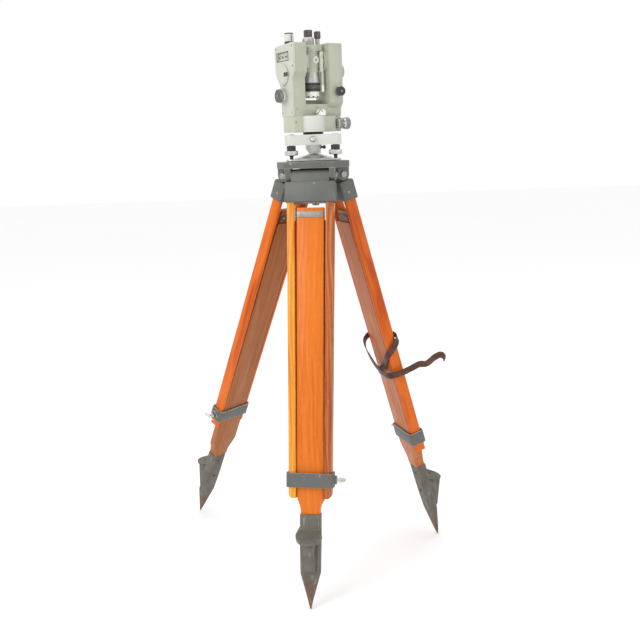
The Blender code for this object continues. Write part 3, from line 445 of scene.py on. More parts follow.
def put(name, mesh, at, body, mats, replaces=(), bevel=0.0, seg=2, angle=38, edge=None,
        smooth=32):
    """Places a mesh given in frame `at` and lets it ride on a CAD body."""
    ob = bpy.data.objects.new(name, mesh)
    bpy.context.scene.collection.objects.link(ob)
    mats = [mats] if isinstance(mats, str) else list(mats)
    for k in mats:
        mesh.materials.append(M[k])
    if bevel:
        b = ob.modifiers.new("edge", 'BEVEL')
        b.width, b.segments, b.limit_method = bevel, seg, 'ANGLE'
        b.angle_limit = math.radians(angle)
        b.use_clamp_overlap = True
        b.miter_outer = 'MITER_ARC'
        if edge:
            mesh.materials.append(M[edge])
            b.material = len(mats)
    finish_mesh(ob, smooth)
    me = ob.data
    local = me.attributes.new("local", 'FLOAT_VECTOR', 'POINT')
    local.data.foreach_set("vector", [c for v in me.vertices for c in v.co])
    me.transform(at)
    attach(ob, body)
    if replaces:
        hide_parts(*replaces)
    return ob


def copy_of(node, at, mats, bevel=0.0, edge=None, name=None, seg=2, angle=38, smooth=32,
            extra=(), pick=None):
    """A finer visible piece on the shape of one CAD node, in a local frame."""
    src = NODES[node].data
    bm = bmesh.new()
    bm.from_mesh(src)
    bmesh.ops.remove_doubles(bm, verts=bm.verts, dist=2e-6)
    bm.transform(at.inverted())
    bmesh.ops.dissolve_limit(bm, angle_limit=math.radians(0.6), verts=bm.verts,
                             edges=bm.edges)
    for f in bm.faces:
        f.material_index = pick(f.calc_center_median(), f.normal) if pick else 0
    me = bpy.data.meshes.new(node + "_form")
    bm.to_mesh(me)
    bm.free()
    return put(name or node + "_visual", me, at, BODY[node], mats, (node, *extra), bevel, seg,
               angle, edge, smooth)


def lathe(name, profile, seg=96, knurls=(), mats=None, axis='Z', centre=(0, 0, 0)):
    """Turns (radius, height) round Z. knurls: (z0, z1, ridges, depth) on radii within."""
    bm = bmesh.new()
    crest = bm.verts.layers.float.new("crest")
    rings = []
    n = seg
    for k in knurls:
        n = max(n, k[2] * 4)
    for r, z in profile:
        if r < 1e-7:
            rings.append([bm.verts.new((0, 0, z))])
            continue
        ring = []
        for i in range(n):
            a = 2 * math.pi * i / n
            rr, c = r, 0.0
            for z0, z1, ridges, depth in knurls:
                if z0 - 1e-7 <= z <= z1 + 1e-7:
                    ph = (a * ridges / (2 * math.pi)) % 1.0
                    tri = 1 - abs(2 * ph - 1)
                    rr = r - depth * (1 - tri)
                    c = tri
            v = bm.verts.new((rr * math.cos(a), rr * math.sin(a), z))
            v[crest] = c
            ring.append(v)
        rings.append(ring)
    for j in range(len(rings) - 1):
        a, b = rings[j], rings[j + 1]
        for i in range(n):
            q = [a[i % len(a)], a[(i + 1) % n % len(a)], b[(i + 1) % n % len(b)], b[i % len(b)]]
            u = []
            for v in q:
                if v not in u:
                    u.append(v)
            if len(u) >= 3:
                f = bm.faces.new(u)
                if mats:
                    f.material_index = mats[j]
    bmesh.ops.remove_doubles(bm, verts=bm.verts, dist=1e-7)
    bmesh.ops.recalc_face_normals(bm, faces=bm.faces)
    rot = {'Z': Matrix.Identity(4), 'X': Ry(math.pi / 2), '-X': Ry(-math.pi / 2),
           'Y': Rx(-math.pi / 2), '-Y': Rx(math.pi / 2), '-Z': Rx(math.pi)}[axis]
    bm.transform(T(centre) @ rot)
    me = bpy.data.meshes.new(name)
    bm.to_mesh(me)
    bm.free()
    return me


def closed(profile):
    return profile + [profile[0]]


def slab(name, outline, a, b, plane="XY"):
    """Prism from an outline; plane XY -> along Z, XZ -> along Y, YZ -> along X."""
    bm = bmesh.new()
    f3 = {"XY": lambda u, v, w: (u, v, w), "XZ": lambda u, v, w: (u, w, v),
          "YZ": lambda u, v, w: (w, u, v)}[plane]
    lo = [bm.verts.new(f3(u, v, a)) for u, v in outline]
    hi = [bm.verts.new(f3(u, v, b)) for u, v in outline]
    n = len(outline)
    bm.faces.new(lo)
    bm.faces.new(hi)
    for i in range(n):
        bm.faces.new((lo[i], lo[(i + 1) % n], hi[(i + 1) % n], hi[i]))
    bmesh.ops.recalc_face_normals(bm, faces=bm.faces)
    me = bpy.data.meshes.new(name)
    bm.to_mesh(me)
    bm.free()
    return me


def round_rect(w, h, r, cx=0.0, cy=0.0, seg=5):
    pts = []
    for sx, sy, a0 in ((1, 1, 0), (-1, 1, 90), (-1, -1, 180), (1, -1, 270)):
        for k in range(seg + 1):
            a = math.radians(a0 + 90 * k / seg)
            pts.append((cx + sx * (w / 2 - r) + r * math.cos(a),
                        cy + sy * (h / 2 - r) + r * math.sin(a)))
    return pts


def merged(name, *meshes):
    bm = bmesh.new()
    for me in meshes:
        bm.from_mesh(me)
    me = bpy.data.meshes.new(name)
    bm.to_mesh(me)
    bm.free()
    return me


def moved(me, mat):
    me.transform(mat)
    return me


def screw_head(name, r, h, slot_w=None, at=Matrix.Identity(4), domed=True):
    """Slotted screw head, its axis along +Z of `at`, standing on z = 0."""
    slot_w = slot_w or r * 0.24
    bm = bmesh.new()
    n, rings = 32, []
    prof = [(1.0, 0.0), (1.0, 0.45), (0.92, 0.75), (0.70, 0.93), (0.35, 1.0)] if domed else \
        [(1.0, 0.0), (1.0, 0.85), (0.93, 1.0), (0.5, 1.0), (0.3, 1.0)]
    for pr, ph in prof:
        rings.append([bm.verts.new((r * pr * math.cos(2 * math.pi * i / n),
                                    r * pr * math.sin(2 * math.pi * i / n), h * ph))
                      for i in range(n)])
    for a, b in zip(rings, rings[1:]):
        for i in range(n):
            bm.faces.new((a[i], a[(i + 1) % n], b[(i + 1) % n], b[i]))
    bm.faces.new(rings[-1])
    bm.faces.new(rings[0][::-1])
    for x in (-slot_w / 2, slot_w / 2):
        bmesh.ops.bisect_plane(bm, geom=bm.verts[:] + bm.edges[:] + bm.faces[:],
                               plane_co=(x, 0, 0), plane_no=(1, 0, 0))
    low = [v for v in bm.verts if abs(v.co.x) < slot_w / 2 - 1e-9]
    for v in bm.verts:
        if abs(v.co.x) <= slot_w / 2 + 1e-9 and v.co.z > h * 0.4 and v in low:
            v.co.z = h * 0.38
    me = bpy.data.meshes.new(name)
    bmesh.ops.recalc_face_normals(bm, faces=bm.faces)
    bm.transform(at)
    bm.to_mesh(me)
    bm.free()
    return me


# ------------------------------------------------------------------ tripod
copy_of("tripod_head", INST, "grey", 0.0014, "grey_edge")
for s in SIDES:
    # the right and left legs' boards take darker copies of the board wood: painted shade
    board_kind = {"front": "board", "left": "board_pale", "right": "board_right"}[s]
    copy_of("leg_head_" + s, LEG[s], "grey", 0.0013, "grey_edge")
    for w in "ab":
        # front leg: stile a takes the lighter copy (painted highlight), stile b the darker copy
        # (painted shade)
        kind = {"front_a": "stile_gold", "front_b": "stile_brown"}.get(s + "_" + w, "stile")
        copy_of("stile_%s_%s" % (s, w), LEG[s], kind, 0.0008, "stile_edge_wear_and_highlight", seg=2, angle=50)
    copy_of("clamp_band_" + s, LEG[s], "grey", 0.0011, "grey_edge")
    copy_of("slide_board_" + s, FOOT[s], board_kind, 0.0009,
            "stile_edge_wear_and_highlight")
    copy_of("shoe_" + s, FOOT[s], "iron", 0.0013, "iron_edge")

    # hinge bolt: domed head one end, round nut the other
    bolt = lathe("hinge_bolt", [(0, 0.0585), (0.0040, 0.0582), (0.0066, 0.0574),
                                (0.0078, 0.0559), (0.0078, 0.0550), (0.0050, 0.0550),
                                (0.0050, -0.0550), (0.0078, -0.0550), (0.0078, -0.0565),
                                (0.0062, -0.0581), (0, -0.0585)], 48, axis='X')
    put("hinge_bolt_%s_visual" % s, bolt, SIDE[s], "tripod_head", "bolt",
        ["hinge_bolt_" + s])

    # clamp thumb screw: shaft, collar, rounded wing
    shaft = lathe("clamp_shaft", [(0, 0.0487), (0.0033, 0.0487), (0.0037, 0.0491),
                                  (0.0037, 0.0610), (0.0056, 0.0618), (0.0058, 0.0642),
                                  (0.0050, 0.0660), (0.0046, 0.0690), (0.0050, 0.0720),
                                  (0, 0.0722)], 40, axis='X', centre=(0, 0, -CLAMP_D))
    bm = bmesh.new()
    bmesh.ops.create_uvsphere(bm, u_segments=40, v_segments=24, radius=1.0)
    for v in bm.verts:
        x, y, z = v.co
        k = abs(y) ** 1.6
        v.co = Vector((0.0722 + 0.0066 * x * (0.62 + 0.38 * k), 0.0154 * y,
                       -CLAMP_D + 0.0041 * z * (0.72 + 0.28 * k)))
    wing = bpy.data.meshes.new("wing")
    bm.to_mesh(wing)
    bm.free()
    put("clamp_screw_%s_visual" % s, merged("clamp_screw", shaft, wing), LEG[s],
        "leg_clamp_screw_" + s, "chrome", ["clamp_screw_" + s])

    # guide plate across the top of the sliding board, with two screws
    gp = slab("guide_plate", round_rect(0.0572, 0.0120, 0.0015, 0, BOARD_TOP[s] - 0.0145),
              -0.0106, -0.0091, "XZ")
    put("guide_plate_" + s, gp, FOOT[s], "lower_leg_" + s, "bolt", bevel=0.0003,
        edge="steel")
    heads = [screw_head("gp_screw", 0.0030, 0.0008, at=T((x, -0.0106, BOARD_TOP[s] - 0.0145))
                        @ Rx(math.radians(90)) @ Rz(math.radians(a)))
             for x, a in ((-0.0195, 25), (0.0195, 70))]
    gi = slab("guide_plate_in", round_rect(0.0572, 0.0120, 0.0015, 0, BOARD_TOP[s] - 0.0145),
              0.0081, 0.0096, "XZ")
    heads += [screw_head("gp_screw", 0.0030, 0.0008, at=T((x, 0.0096, BOARD_TOP[s] - 0.0145))
                         @ Rx(math.radians(-90)) @ Rz(math.radians(a)))
              for x, a in ((-0.0195, 10), (0.0195, 50))]
    put("guide_plate_inner_" + s, gi, FOOT[s], "lower_leg_" + s, "dark_steel",
        bevel=0.0003, edge="bolt")
    put("guide_plate_screws_" + s, merged("gp", *heads), FOOT[s], "lower_leg_" + s,
        "bolt")

    # socket screws on the leg head, through to the stiles
    hs = [screw_head("cap_screw", 0.0034, 0.0012, at=T((sg * 0.0550, 0.0, -0.0410))
                     @ Ry(math.radians(90 * sg)) @ Rz(0.6)) for sg in (-1, 1)]
    put("leg_head_screws_" + s, merged("hs", *hs), LEG[s], "upper_leg_" + s, "bolt")

# fixing screw under the head
fix = lathe("fixing", [(0, 0.9490), (0.0058, 0.9490), (0.0065, 0.9482), (0.0065, 0.9158),
                       (0.0150, 0.9158), (0.0150, 0.9095), (0.0172, 0.9085),
                       (0.0175, 0.9075), (0.0175, 0.8810), (0.0170, 0.8795),
                       (0.0150, 0.8760), (0.0082, 0.8740), (0.0082, 0.8500),
                       (0.0066, 0.8470), (0, 0.8470)], 96,
            knurls=[(0.8800, 0.9080, 44, 0.0007)])
put("fixing_screw_visual", fix, INST, "fixing_screw", "grip_chrome", ["fixing_screw"])

# foot pedals: raised studs in rows on the sloping plate
for s in SIDES:
    at = T((0, -0.0090, 0.1760)) @ Rx(math.radians(33))
    bm = bmesh.new()
    crest = bm.verts.layers.float.new("crest")
    p = 0.0042
    for i in range(-8, 9):
        for j in range(0, 12):
            x, y = i * p + (p / 2 if j % 2 else 0), -0.0105 - j * p * 0.78
            inside = (abs(x) < 0.0235 and y > -0.020) or \
                (x / 0.0262) ** 2 + ((y + 0.020) / 0.0245) ** 2 < 1
            if not inside or y < -0.0445:
                continue
            b, t, h = 0.00165, 0.0008, 0.0016
            lo = [bm.verts.new((x + dx * b, y + dy * b, -0.0004))
                  for dx, dy in ((-1, 0), (0, -1), (1, 0), (0, 1))]
            hi = [bm.verts.new((x + dx * t, y + dy * t, h))
                  for dx, dy in ((-1, 0), (0, -1), (1, 0), (0, 1))]
            for v in hi:
                v[crest] = 1.0
            bm.faces.new(hi)
            for k in range(4):
                bm.faces.new((lo[k], lo[(k + 1) % 4], hi[(k + 1) % 4], hi[k]))
            bm.faces.new(lo[::-1])
    bm.transform(at)
    me = bpy.data.meshes.new("pedal_studs")
    bm.to_mesh(me)
    bm.free()
    M.setdefault("studs", knurl_mat("iron_studs", (0.11, 0.095, 0.075), (0.46, 0.42, 0.33),
                                    amount=1.1, metallic=0.2, rough=0.5))
    put("pedal_studs_" + s, me, FOOT[s], "lower_leg_" + s, "studs", smooth=20)
    # shoe screws on the inner side
    sh = [screw_head("shoe_screw", 0.0040, 0.0012, at=T((x, 0.0124, z))
                     @ Rx(math.radians(-90)) @ Rz(a))
          for x, z, a in ((0.0, 0.182, 0.4), (0.0, 0.132, 1.2))]
    put("shoe_screws_" + s, merged("ss", *sh), FOOT[s], "lower_leg_" + s, "dark_steel")

# ------------------------------------------------------------------ strap
STRAP_W, STRAP_T = 0.0150, 0.0022
ROUTE = [  # position, outward direction of the ribbon's face
    ((0.0240, 0.0195, -0.4860), (0.0, 1.0, 0.0)),
    ((0.0080, 0.0195, -0.4770), (0.0, 1.0, 0.0)),
    ((-0.0200, 0.0185, -0.4580), (0.0, 1.0, 0.0)),
    ((-0.0420, 0.0180, -0.4370), (-0.2, 1.0, 0.0)),
    ((-0.0530, 0.0125, -0.4260), (-0.8, 0.6, 0.0)),
    ((-0.0560, 0.0000, -0.4165), (-1.0, 0.1, 0.0)),
    ((-0.0545, -0.0140, -0.4040), (-0.95, -0.3, 0.0)),
    ((-0.0430, -0.0212, -0.3965), (-0.3, -1.0, 0.0)),
    ((-0.0150, -0.0205, -0.3940), (0.0, -1.0, 0.0)),
    ((0.0200, -0.0200, -0.3935), (0.0, -1.0, 0.0)),
    ((0.0440, -0.0198, -0.3950), (0.1, -1.0, 0.0)),
    ((0.0545, -0.0120, -0.3975), (0.9, -0.5, 0.0)),
    ((0.0565, 0.0050, -0.4010), (1.0, 0.1, 0.0)),
    ((0.0560, 0.0200, -0.4075), (0.9, 0.4, 0.2)),
    ((0.0520, 0.0270, -0.4200), (0.6, 0.8, 0.1)),
    ((0.0430, 0.0285, -0.4400), (0.2, 1.0, 0.0)),
    ((0.0230, 0.0285, -0.4605), (0.0, 1.0, 0.0)),
    ((-0.0020, 0.0285, -0.4745), (0.0, 1.0, 0.0)),
    ((-0.0280, 0.0285, -0.4790), (0.0, 1.0, 0.0)),
    ((-0.0490, 0.0260, -0.4785), (-0.4, 0.9, 0.0)),
    ((-0.0610, 0.0130, -0.4775), (-0.9, 0.45, 0.0)),
    ((-0.0650, -0.0080, -0.4770), (-1.0, 0.1, 0.0)),
    ((-0.0660, -0.0290, -0.4755), (-1.0, 0.0, 0.0)),
    ((-0.0665, -0.0475, -0.4740), (-1.0, 0.0, 0.1)),
    ((-0.0670, -0.0660, -0.4795), (-1.0, 0.1, 0.0)),
    ((-0.0680, -0.0870, -0.4730), (-1.0, 0.0, 0.1)),
    ((-0.0690, -0.1030, -0.4715), (-1.0, -0.1, 0.2)),
    ((-0.0690, -0.1120, -0.4800), (-0.9, -0.5, 0.2)),
    ((-0.0660, -0.1120, -0.4905), (-0.7, -0.7, 0.0)),
]


def spline(values, u):
    i = min(int(u), len(values) - 2)
    f = u - i
    p0 = Vector(values[max(i - 1, 0)])
    p1, p2 = Vector(values[i]), Vector(values[i + 1])
    p3 = Vector(values[min(i + 2, len(values) - 1)])
    return 0.5 * ((2 * p1) + (p2 - p0) * f + (2 * p0 - 5 * p1 + 4 * p2 - p3) * f * f
                  + (3 * p1 - p0 - 3 * p2 + p3) * f ** 3)


def ribbon(name, route, width, thick, steps, cup=0.0, point=0.0):
    """Flat leather: slightly crowned section with rounded edges, end cut to a point."""
    pos, nor = [r[0] for r in route], [r[1] for r in route]
    last = len(route) - 1
    sec = [(-1.0, -0.30), (-0.93, -0.80), (-0.6, -1.0), (0.0, -1.0), (0.6, -1.0),
           (0.93, -0.80), (1.0, -0.30), (1.0, 0.30), (0.93, 0.80), (0.6, 1.0), (0.0, 1.0),
           (-0.6, 1.0), (-0.93, 0.80), (-1.0, 0.30)]
    bm = bmesh.new()
    rings = []
    run = 0.0
    prev = None
    for k in range(steps + 1):
        u = last * k / steps
        p = spline(pos, u)
        t = (spline(pos, min(u + 0.02, last)) - spline(pos, max(u - 0.02, 0))).normalized()
        n = spline(nor, u)
        n = (n - t * n.dot(t)).normalized()
        w = t.cross(n)
        run += (p - prev).length if prev is not None else 0.0
        prev = p
        wid = width * (1.0 + 0.02 * math.sin(run * 310) + 0.015 * math.sin(run * 770 + 1))
        left = (steps - k) / steps * last
        if point and left < point:
            wid *= max(0.30, math.sqrt(max(0.0, 1 - (1 - left / point) ** 2)))
        curl = cup * (0.6 + 0.4 * math.sin(run * 120))
        rings.append([bm.verts.new(p + w * (a * wid / 2)
                                   + n * (b * thick / 2 - curl * a * a * width))
                      for a, b in sec])
    for a, b in zip(rings, rings[1:]):
        for i in range(len(sec)):
            j = (i + 1) % len(sec)
            bm.faces.new((a[i], a[j], b[j], b[i]))
    bm.faces.new(rings[0][::-1])
    bm.faces.new(rings[-1])
    bmesh.ops.recalc_face_normals(bm, faces=bm.faces)
    me = bpy.data.meshes.new(name)
    bm.to_mesh(me)
    bm.free()
    return me


put("strap_leather_visual", ribbon("strap", ROUTE, STRAP_W, STRAP_T, 520, 0.012, 0.35),
    LEG["right"], "upper_leg_right", "leather", ["strap_leather"], smooth=60)


def along(route, u, off, lift):
    pos, nor = [r[0] for r in route], [r[1] for r in route]
    last = len(route) - 1
    p = spline(pos, u)
    t = (spline(pos, min(u + 0.02, last)) - spline(pos, max(u - 0.02, 0))).normalized()
    n = spline(nor, u)
    n = (n - t * n.dot(t)).normalized()
    w = t.cross(n)
    m = Matrix((w, t, n)).transposed().to_4x4()
    m.translation = p + w * off + n * lift
    return m


# stitches beside the buckle and along the loop, and punched holes in the tail
st = []
for k in range(26):
    for sg in (-1, 1):
        for lift in (STRAP_T / 2 + 0.0001, -STRAP_T / 2 - 0.0001):
            m = along(ROUTE, 0.12 + k * 0.068, sg * 0.0055, lift)
            st.append(moved(slab("stitch", round_rect(0.0007, 0.0021, 0.0003, seg=2),
                                 -0.0003, 0.0003), m))
M["thread"] = enamel("thread_waxed", (0.20, 0.12, 0.07), rough=0.7, coat=0.0, peel=0.6)
put("strap_stitches", merged("st", *st), LEG["right"], "upper_leg_right", "thread")
# the holes are not cut: near-black discs on both faces of the strap stand for them, painted shade
M["hole"] = enamel("hole_painted_shade", (0.018, 0.009, 0.007), rough=0.8, coat=0.0)
ho = []
for u in (17.6, 18.6, 19.5):
    for lift in (STRAP_T / 2 - 0.00015, -STRAP_T / 2 + 0.00015):
        m = along(ROUTE, u, 0.0, lift)
        ho.append(moved(lathe("hole", closed([(0.0, 0.00032), (0.0019, 0.00032),
                                              (0.0022, 0.0001), (0.0022, -0.0003),
                                              (0.0, -0.0003)])[:-1], 24), m))
put("strap_holes", merged("ho", *ho), LEG["right"], "upper_leg_right", "hole")

# buckle: bent square frame with a tongue, on its own plane
BUCKLE = (T((0.0165, 0.0225, -0.4820)) @ Ry(math.radians(27.5))
          @ Rx(math.radians(90)))


def wire(name, pts, r, closed_path=False, seg=10):
    bm = bmesh.new()
    rings = []
    n = len(pts)
    for i, p in enumerate(pts):
        p = Vector(p)
        a = Vector(pts[(i - 1) % n] if closed_path or i else pts[0])
        b = Vector(pts[(i + 1) % n] if closed_path or i < n - 1 else pts[-1])
        t = (b - a).normalized()
        ref = Vector((0, 0, 1)) if abs(t.z) < 0.9 else Vector((1, 0, 0))
        u = t.cross(ref).normalized()
        v = t.cross(u)
        rings.append([bm.verts.new(p + (u * math.cos(k) + v * math.sin(k)) * r)
                      for k in [2 * math.pi * j / seg for j in range(seg)]])
    pairs = list(zip(rings, rings[1:])) + ([(rings[-1], rings[0])] if closed_path else [])
    for a, b in pairs:
        for j in range(seg):
            bm.faces.new((a[j], a[(j + 1) % seg], b[(j + 1) % seg], b[j]))
    if not closed_path:
        bm.faces.new(rings[0][::-1])
        bm.faces.new(rings[-1])
    bmesh.ops.recalc_face_normals(bm, faces=bm.faces)
    me = bpy.data.meshes.new(name)
    bm.to_mesh(me)
    bm.free()
    return me


loop = [(x, y, 0) for x, y in round_rect(0.0146, 0.0188, 0.0032, seg=8)]
tongue = [(-0.0073, 0.0, 0.0004), (-0.0055, 0.0, 0.0013), (-0.0010, 0.0, 0.0015),
          (0.0045, 0.0, 0.0013), (0.0080, 0.0, 0.0011)]
put("strap_buckle_visual", merged("buckle", wire("frame", loop, 0.0012, True),
                                  wire("tongue", tongue, 0.0009)),
    LEG["right"] @ BUCKLE, "upper_leg_right", "steel", ["strap_buckle"])

# ------------------------------------------------------------------ tribrach
SCREW_AT = {"a": -60, "b": 60, "c": 180}
copy_of("base_plate", STATION, "steel", 0.0007, "chrome")
# the lower faces of the tribrach take the white enamel in place of the pale: a painted reflection of
# the bright floor on their shaded side
copy_of("tribrach_body", STATION, ["pale", "white"], 0.0016, "pale_edge", seg=3,
        pick=lambda c, n: 1 if c.z < 0.9862 and n.z > -0.9 else 0)
for k, az in SCREW_AT.items():
    a = math.radians(az)
    at = (0.067 * math.sin(a), -0.067 * math.cos(a), 0)
    prof = [(0, 1.0075), (0.0052, 1.0075), (0.0060, 1.0067), (0.0060, 0.9852),
            (0.0110, 0.9852), (0.0118, 0.9844), (0.0118, 0.9738), (0.0112, 0.9729),
            (0.0126, 0.9727), (0.0160, 0.9725), (0.0172, 0.9718), (0.0175, 0.9708),
            (0.0175, 0.9622), (0.0170, 0.9612), (0.0155, 0.9603), (0.0080, 0.9600),
            (0.0066, 0.9597), (0.0052, 0.9585), (0.0048, 0.9560), (0.0048, 0.9490),
            (0.0030, 0.9474), (0, 0.9474)]
    mi = [2, 2, 2, 0, 0, 0, 0, 1, 1, 1, 1, 1, 1, 1, 1, 0, 0, 0, 0, 0, 0]
    me = lathe("foot_screw", prof, 96, [(0.9744, 0.9842, 40, 0.0008),
                                        (0.9618, 0.9712, 60, 0.0004)], mats=mi)
    put("foot_screw_%s_visual" % k, me, STATION @ T(at), "foot_screw_" + k,
        ["black", "chrome", "steel"], ["foot_screw_" + k])
    # dust collar on the arm above each foot screw
    cap = lathe("arm_cap", [(0, 1.0152), (0.0060, 1.0150), (0.0085, 1.0142),
                            (0.0090, 1.0131), (0, 1.0131)], 48, centre=at)
    put("arm_cap_" + k, cap, STATION, "tripod_head", "pale")
sp = closed([(0.0100, 0.9622), (0.0170, 0.9616), (0.0240, 0.9602), (0.0340, 0.9577),
             (0.0440, 0.9548), (0.0500, 0.9526), (0.0520, 0.9519), (0.0520, 0.9508),
             (0.0498, 0.9513), (0.0440, 0.9532), (0.0340, 0.9560), (0.0240, 0.9586),
             (0.0100, 0.9607)])
put("spring_plate_visual", lathe("spring", sp, 96), STATION, "tripod_head", "chrome",
    ["spring_plate"])
spindle = lathe("spindle", [(0, 1.0585), (0.0108, 1.0585), (0.0120, 1.0573), (0.0120, 1.0188),
                            (0.0264, 1.0188), (0.0272, 1.0182), (0.0272, 1.0170),
                            (0.0267, 1.0166), (0.0267, 1.0160), (0.0272, 1.0156),
                            (0.0272, 1.0143), (0.0262, 1.0135), (0.0120, 1.0135),
                            (0.0120, 0.9955), (0, 0.9955)], 96)
put("spindle_visual", spindle, STATION, "tripod_head", "black", ["spindle"])
lock = lathe("lock", [(0, 0.0645), (0.0022, 0.0643), (0.0042, 0.0634), (0.0058, 0.0618),
                      (0.0070, 0.0598), (0.0074, 0.0578), (0.0070, 0.0558), (0.0060, 0.0540),
                      (0.0048, 0.0527), (0.0040, 0.0520), (0.0039, 0.0402), (0, 0.0402)], 64,
             axis='-Y', centre=(0, 0, 1.0005))
put("tribrach_lock_visual", lock, STATION, "tribrach_lock_screw", "chrome",
    ["tribrach_lock_screw"])
ferr = lathe("lock_ferrule", closed([(0.0050, 0.0505), (0.0078, 0.0502), (0.0082, 0.0495),
                                     (0.0082, 0.0480), (0.0050, 0.0480)]), 48, axis='-Y',
             centre=(0, 0, 1.0005))
put("tribrach_lock_ferrule", ferr, STATION, "tripod_head", "chrome")
sk = lathe("sideknob", [(0, 0.0335), (0.0030, 0.0334), (0.0044, 0.0326), (0.0048, 0.0312),
                        (0.0048, 0.0276), (0.0042, 0.0264), (0.0030, 0.0256),
                        (0.0026, 0.0180), (0, 0.0180)], 48, [(0.0274, 0.0314, 20, 0.0005)],
           axis='X', centre=(0, 0, 0.9795))
put("tribrach_side_knob", moved(sk, T((0, 0, 0.9795)) @ Rz(math.radians(-18))
                                @ T((0, 0, -0.9795))), STATION, "tripod_head", "grip")
# graduated-circle glass inside its drum
put("horizontal_circle_visual",
    lathe("hcircle", closed([(0.01235, 1.0395), (0.0250, 1.0395), (0.0250, 1.0365),
                             (0.01235, 1.0365)]), 96), STATION, "tripod_head", "glass",
    ["horizontal_circle"])

# ------------------------------------------------------------------ alidade
copy_of("base_cover", ALIDADE, ["base", "pale"], 0.0014, "side_edge", seg=3,
        pick=lambda c, n: 1 if n.z < 0.5 and c.y < -0.0256
        and abs(math.hypot(c.x + 0.0115, c.y + 0.0175) - 0.0335) < 0.0012 else 0)
put("bearing_bush_visual",
    lathe("bush", closed([(0.01240, 1.0590), (0.0165, 1.0590), (0.0170, 1.0585),
                          (0.0170, 1.0440), (0.01240, 1.0440)]), 72), ALIDADE, "alidade",
    "brass", ["bearing_bush"])
copy_of("yoke_frame", ALIDADE, "cream", 0.0013, "cream_edge", seg=3)
copy_of("left_cover", ALIDADE, "side", 0.0036, "side_edge", seg=4)
copy_of("right_cover", ALIDADE, "cream", 0.0036, "cream_edge", seg=4)

# level vial in its window: glass tube with end caps, liquid and bubble
vial = lathe("vial", [(0, 0.0440), (0.0030, 0.0437), (0.0046, 0.0425), (0.0050, 0.0405),
                      (0.0050, -0.0035), (0.0046, -0.0055), (0.0030, -0.0067),
                      (0, -0.0070)], 48, axis='Y', centre=(-0.0625, 0, 1.2110))
put("index_level_vial_visual", vial, ALIDADE, "alidade", "glass", ["index_level_vial"])
caps = [lathe("vcap", [(0, a), (0.0050, a), (0.0056, a + d), (0.0056, b - d), (0.0050, b),
                       (0, b)], 48, axis='Y', centre=(-0.0625, 0, 1.2110))
        for a, b, d in ((0.0350, 0.0475, 0.0006), (-0.0105, 0.0010, 0.0006))]
put("level_vial_caps", merged("vc", *caps), ALIDADE, "alidade", "chrome")
bub = lathe("bubble", [(0, 0.0090), (0.0016, 0.0080), (0.0020, 0.0050), (0.0020, -0.0050),
                       (0.0016, -0.0080), (0, -0.0090)], 24, axis='Y',
            centre=(-0.0640, 0.0185, 1.2138))
M["bubble"] = glass_mat("glass_bubble", (0.95, 0.97, 0.90), trans=0.4)
put("level_bubble", bub, ALIDADE, "alidade", "bubble")
bed = slab("bed", [(-0.0118, 1.2012), (0.0488, 1.2012), (0.0488, 1.2208), (-0.0118, 1.2208)],
           -0.0668, -0.0663, "YZ")
put("level_bed", bed, ALIDADE, "alidade", "side")
gr = [lathe("grad", closed([(0.0049, y - 0.0004), (0.0053, y - 0.0004), (0.0053, y + 0.0004),
                            (0.0049, y + 0.0004)]), 32, axis='Y', centre=(-0.0625, 0, 1.2110))
      for y in (0.0070, 0.0105, 0.0265, 0.0300)]
put("level_marks", merged("gm", *gr), ALIDADE, "alidade", "black")
frame_w = merged("wf", *[slab("wf", o, -0.0737, -0.0728, "YZ") for o in (
    [(-0.0125, 1.1995), (0.0495, 1.1995), (0.0495, 1.2008), (-0.0125, 1.2008)],
    [(-0.0125, 1.2212), (0.0495, 1.2212), (0.0495, 1.2225), (-0.0125, 1.2225)],
    [(-0.0125, 1.2008), (-0.0112, 1.2008), (-0.0112, 1.2212), (-0.0125, 1.2212)],
    [(0.0482, 1.2008), (0.0495, 1.2008), (0.0495, 1.2212), (0.0482, 1.2212)])])
put("level_window_frame", frame_w, ALIDADE, "alidade", "black", bevel=0.0002)

# level-reading prism housing, ribbed at its foot
prism = lathe("prism", [(0, 1.2698), (0.0060, 1.2700), (0.0105, 1.2700), (0.0112, 1.2695),
                        (0.0112, 1.2670), (0.0122, 1.2664), (0.0122, 1.2492),
                        (0.0114, 1.2486), (0.0114, 1.2470), (0.0122, 1.2464),
                        (0.0122, 1.2442), (0.0112, 1.2433), (0, 1.2433)], 96,
              [(1.2440, 1.2466, 48, 0.0004)],
              mats=[1, 1, 1, 1, 0, 0, 0, 1, 1, 1, 1, 1],
              centre=(-0.0540, 0.0140, 0))
put("level_prism_visual", prism, ALIDADE, "level_prism", ["pale", "black"], ["level_prism"])
pw = lathe("prism_eye", [(0, 0.0140), (0.0030, 0.0140), (0.0040, 0.0134), (0.0040, 0.0110),
                         (0, 0.0110)], 40, axis='Y', centre=(-0.0540, 0.0140, 1.2580))
put("level_prism_eye", pw, ALIDADE, "level_prism", "lens")
pm = [slab("pmark", round_rect(0.0016, 0.0150, 0.0006, -0.0540, 1.2578), 0.0010, 0.0020, "XZ")]
put("level_prism_mark", merged("pmk", *pm), ALIDADE, "level_prism", "black",
    bevel=0.0002)

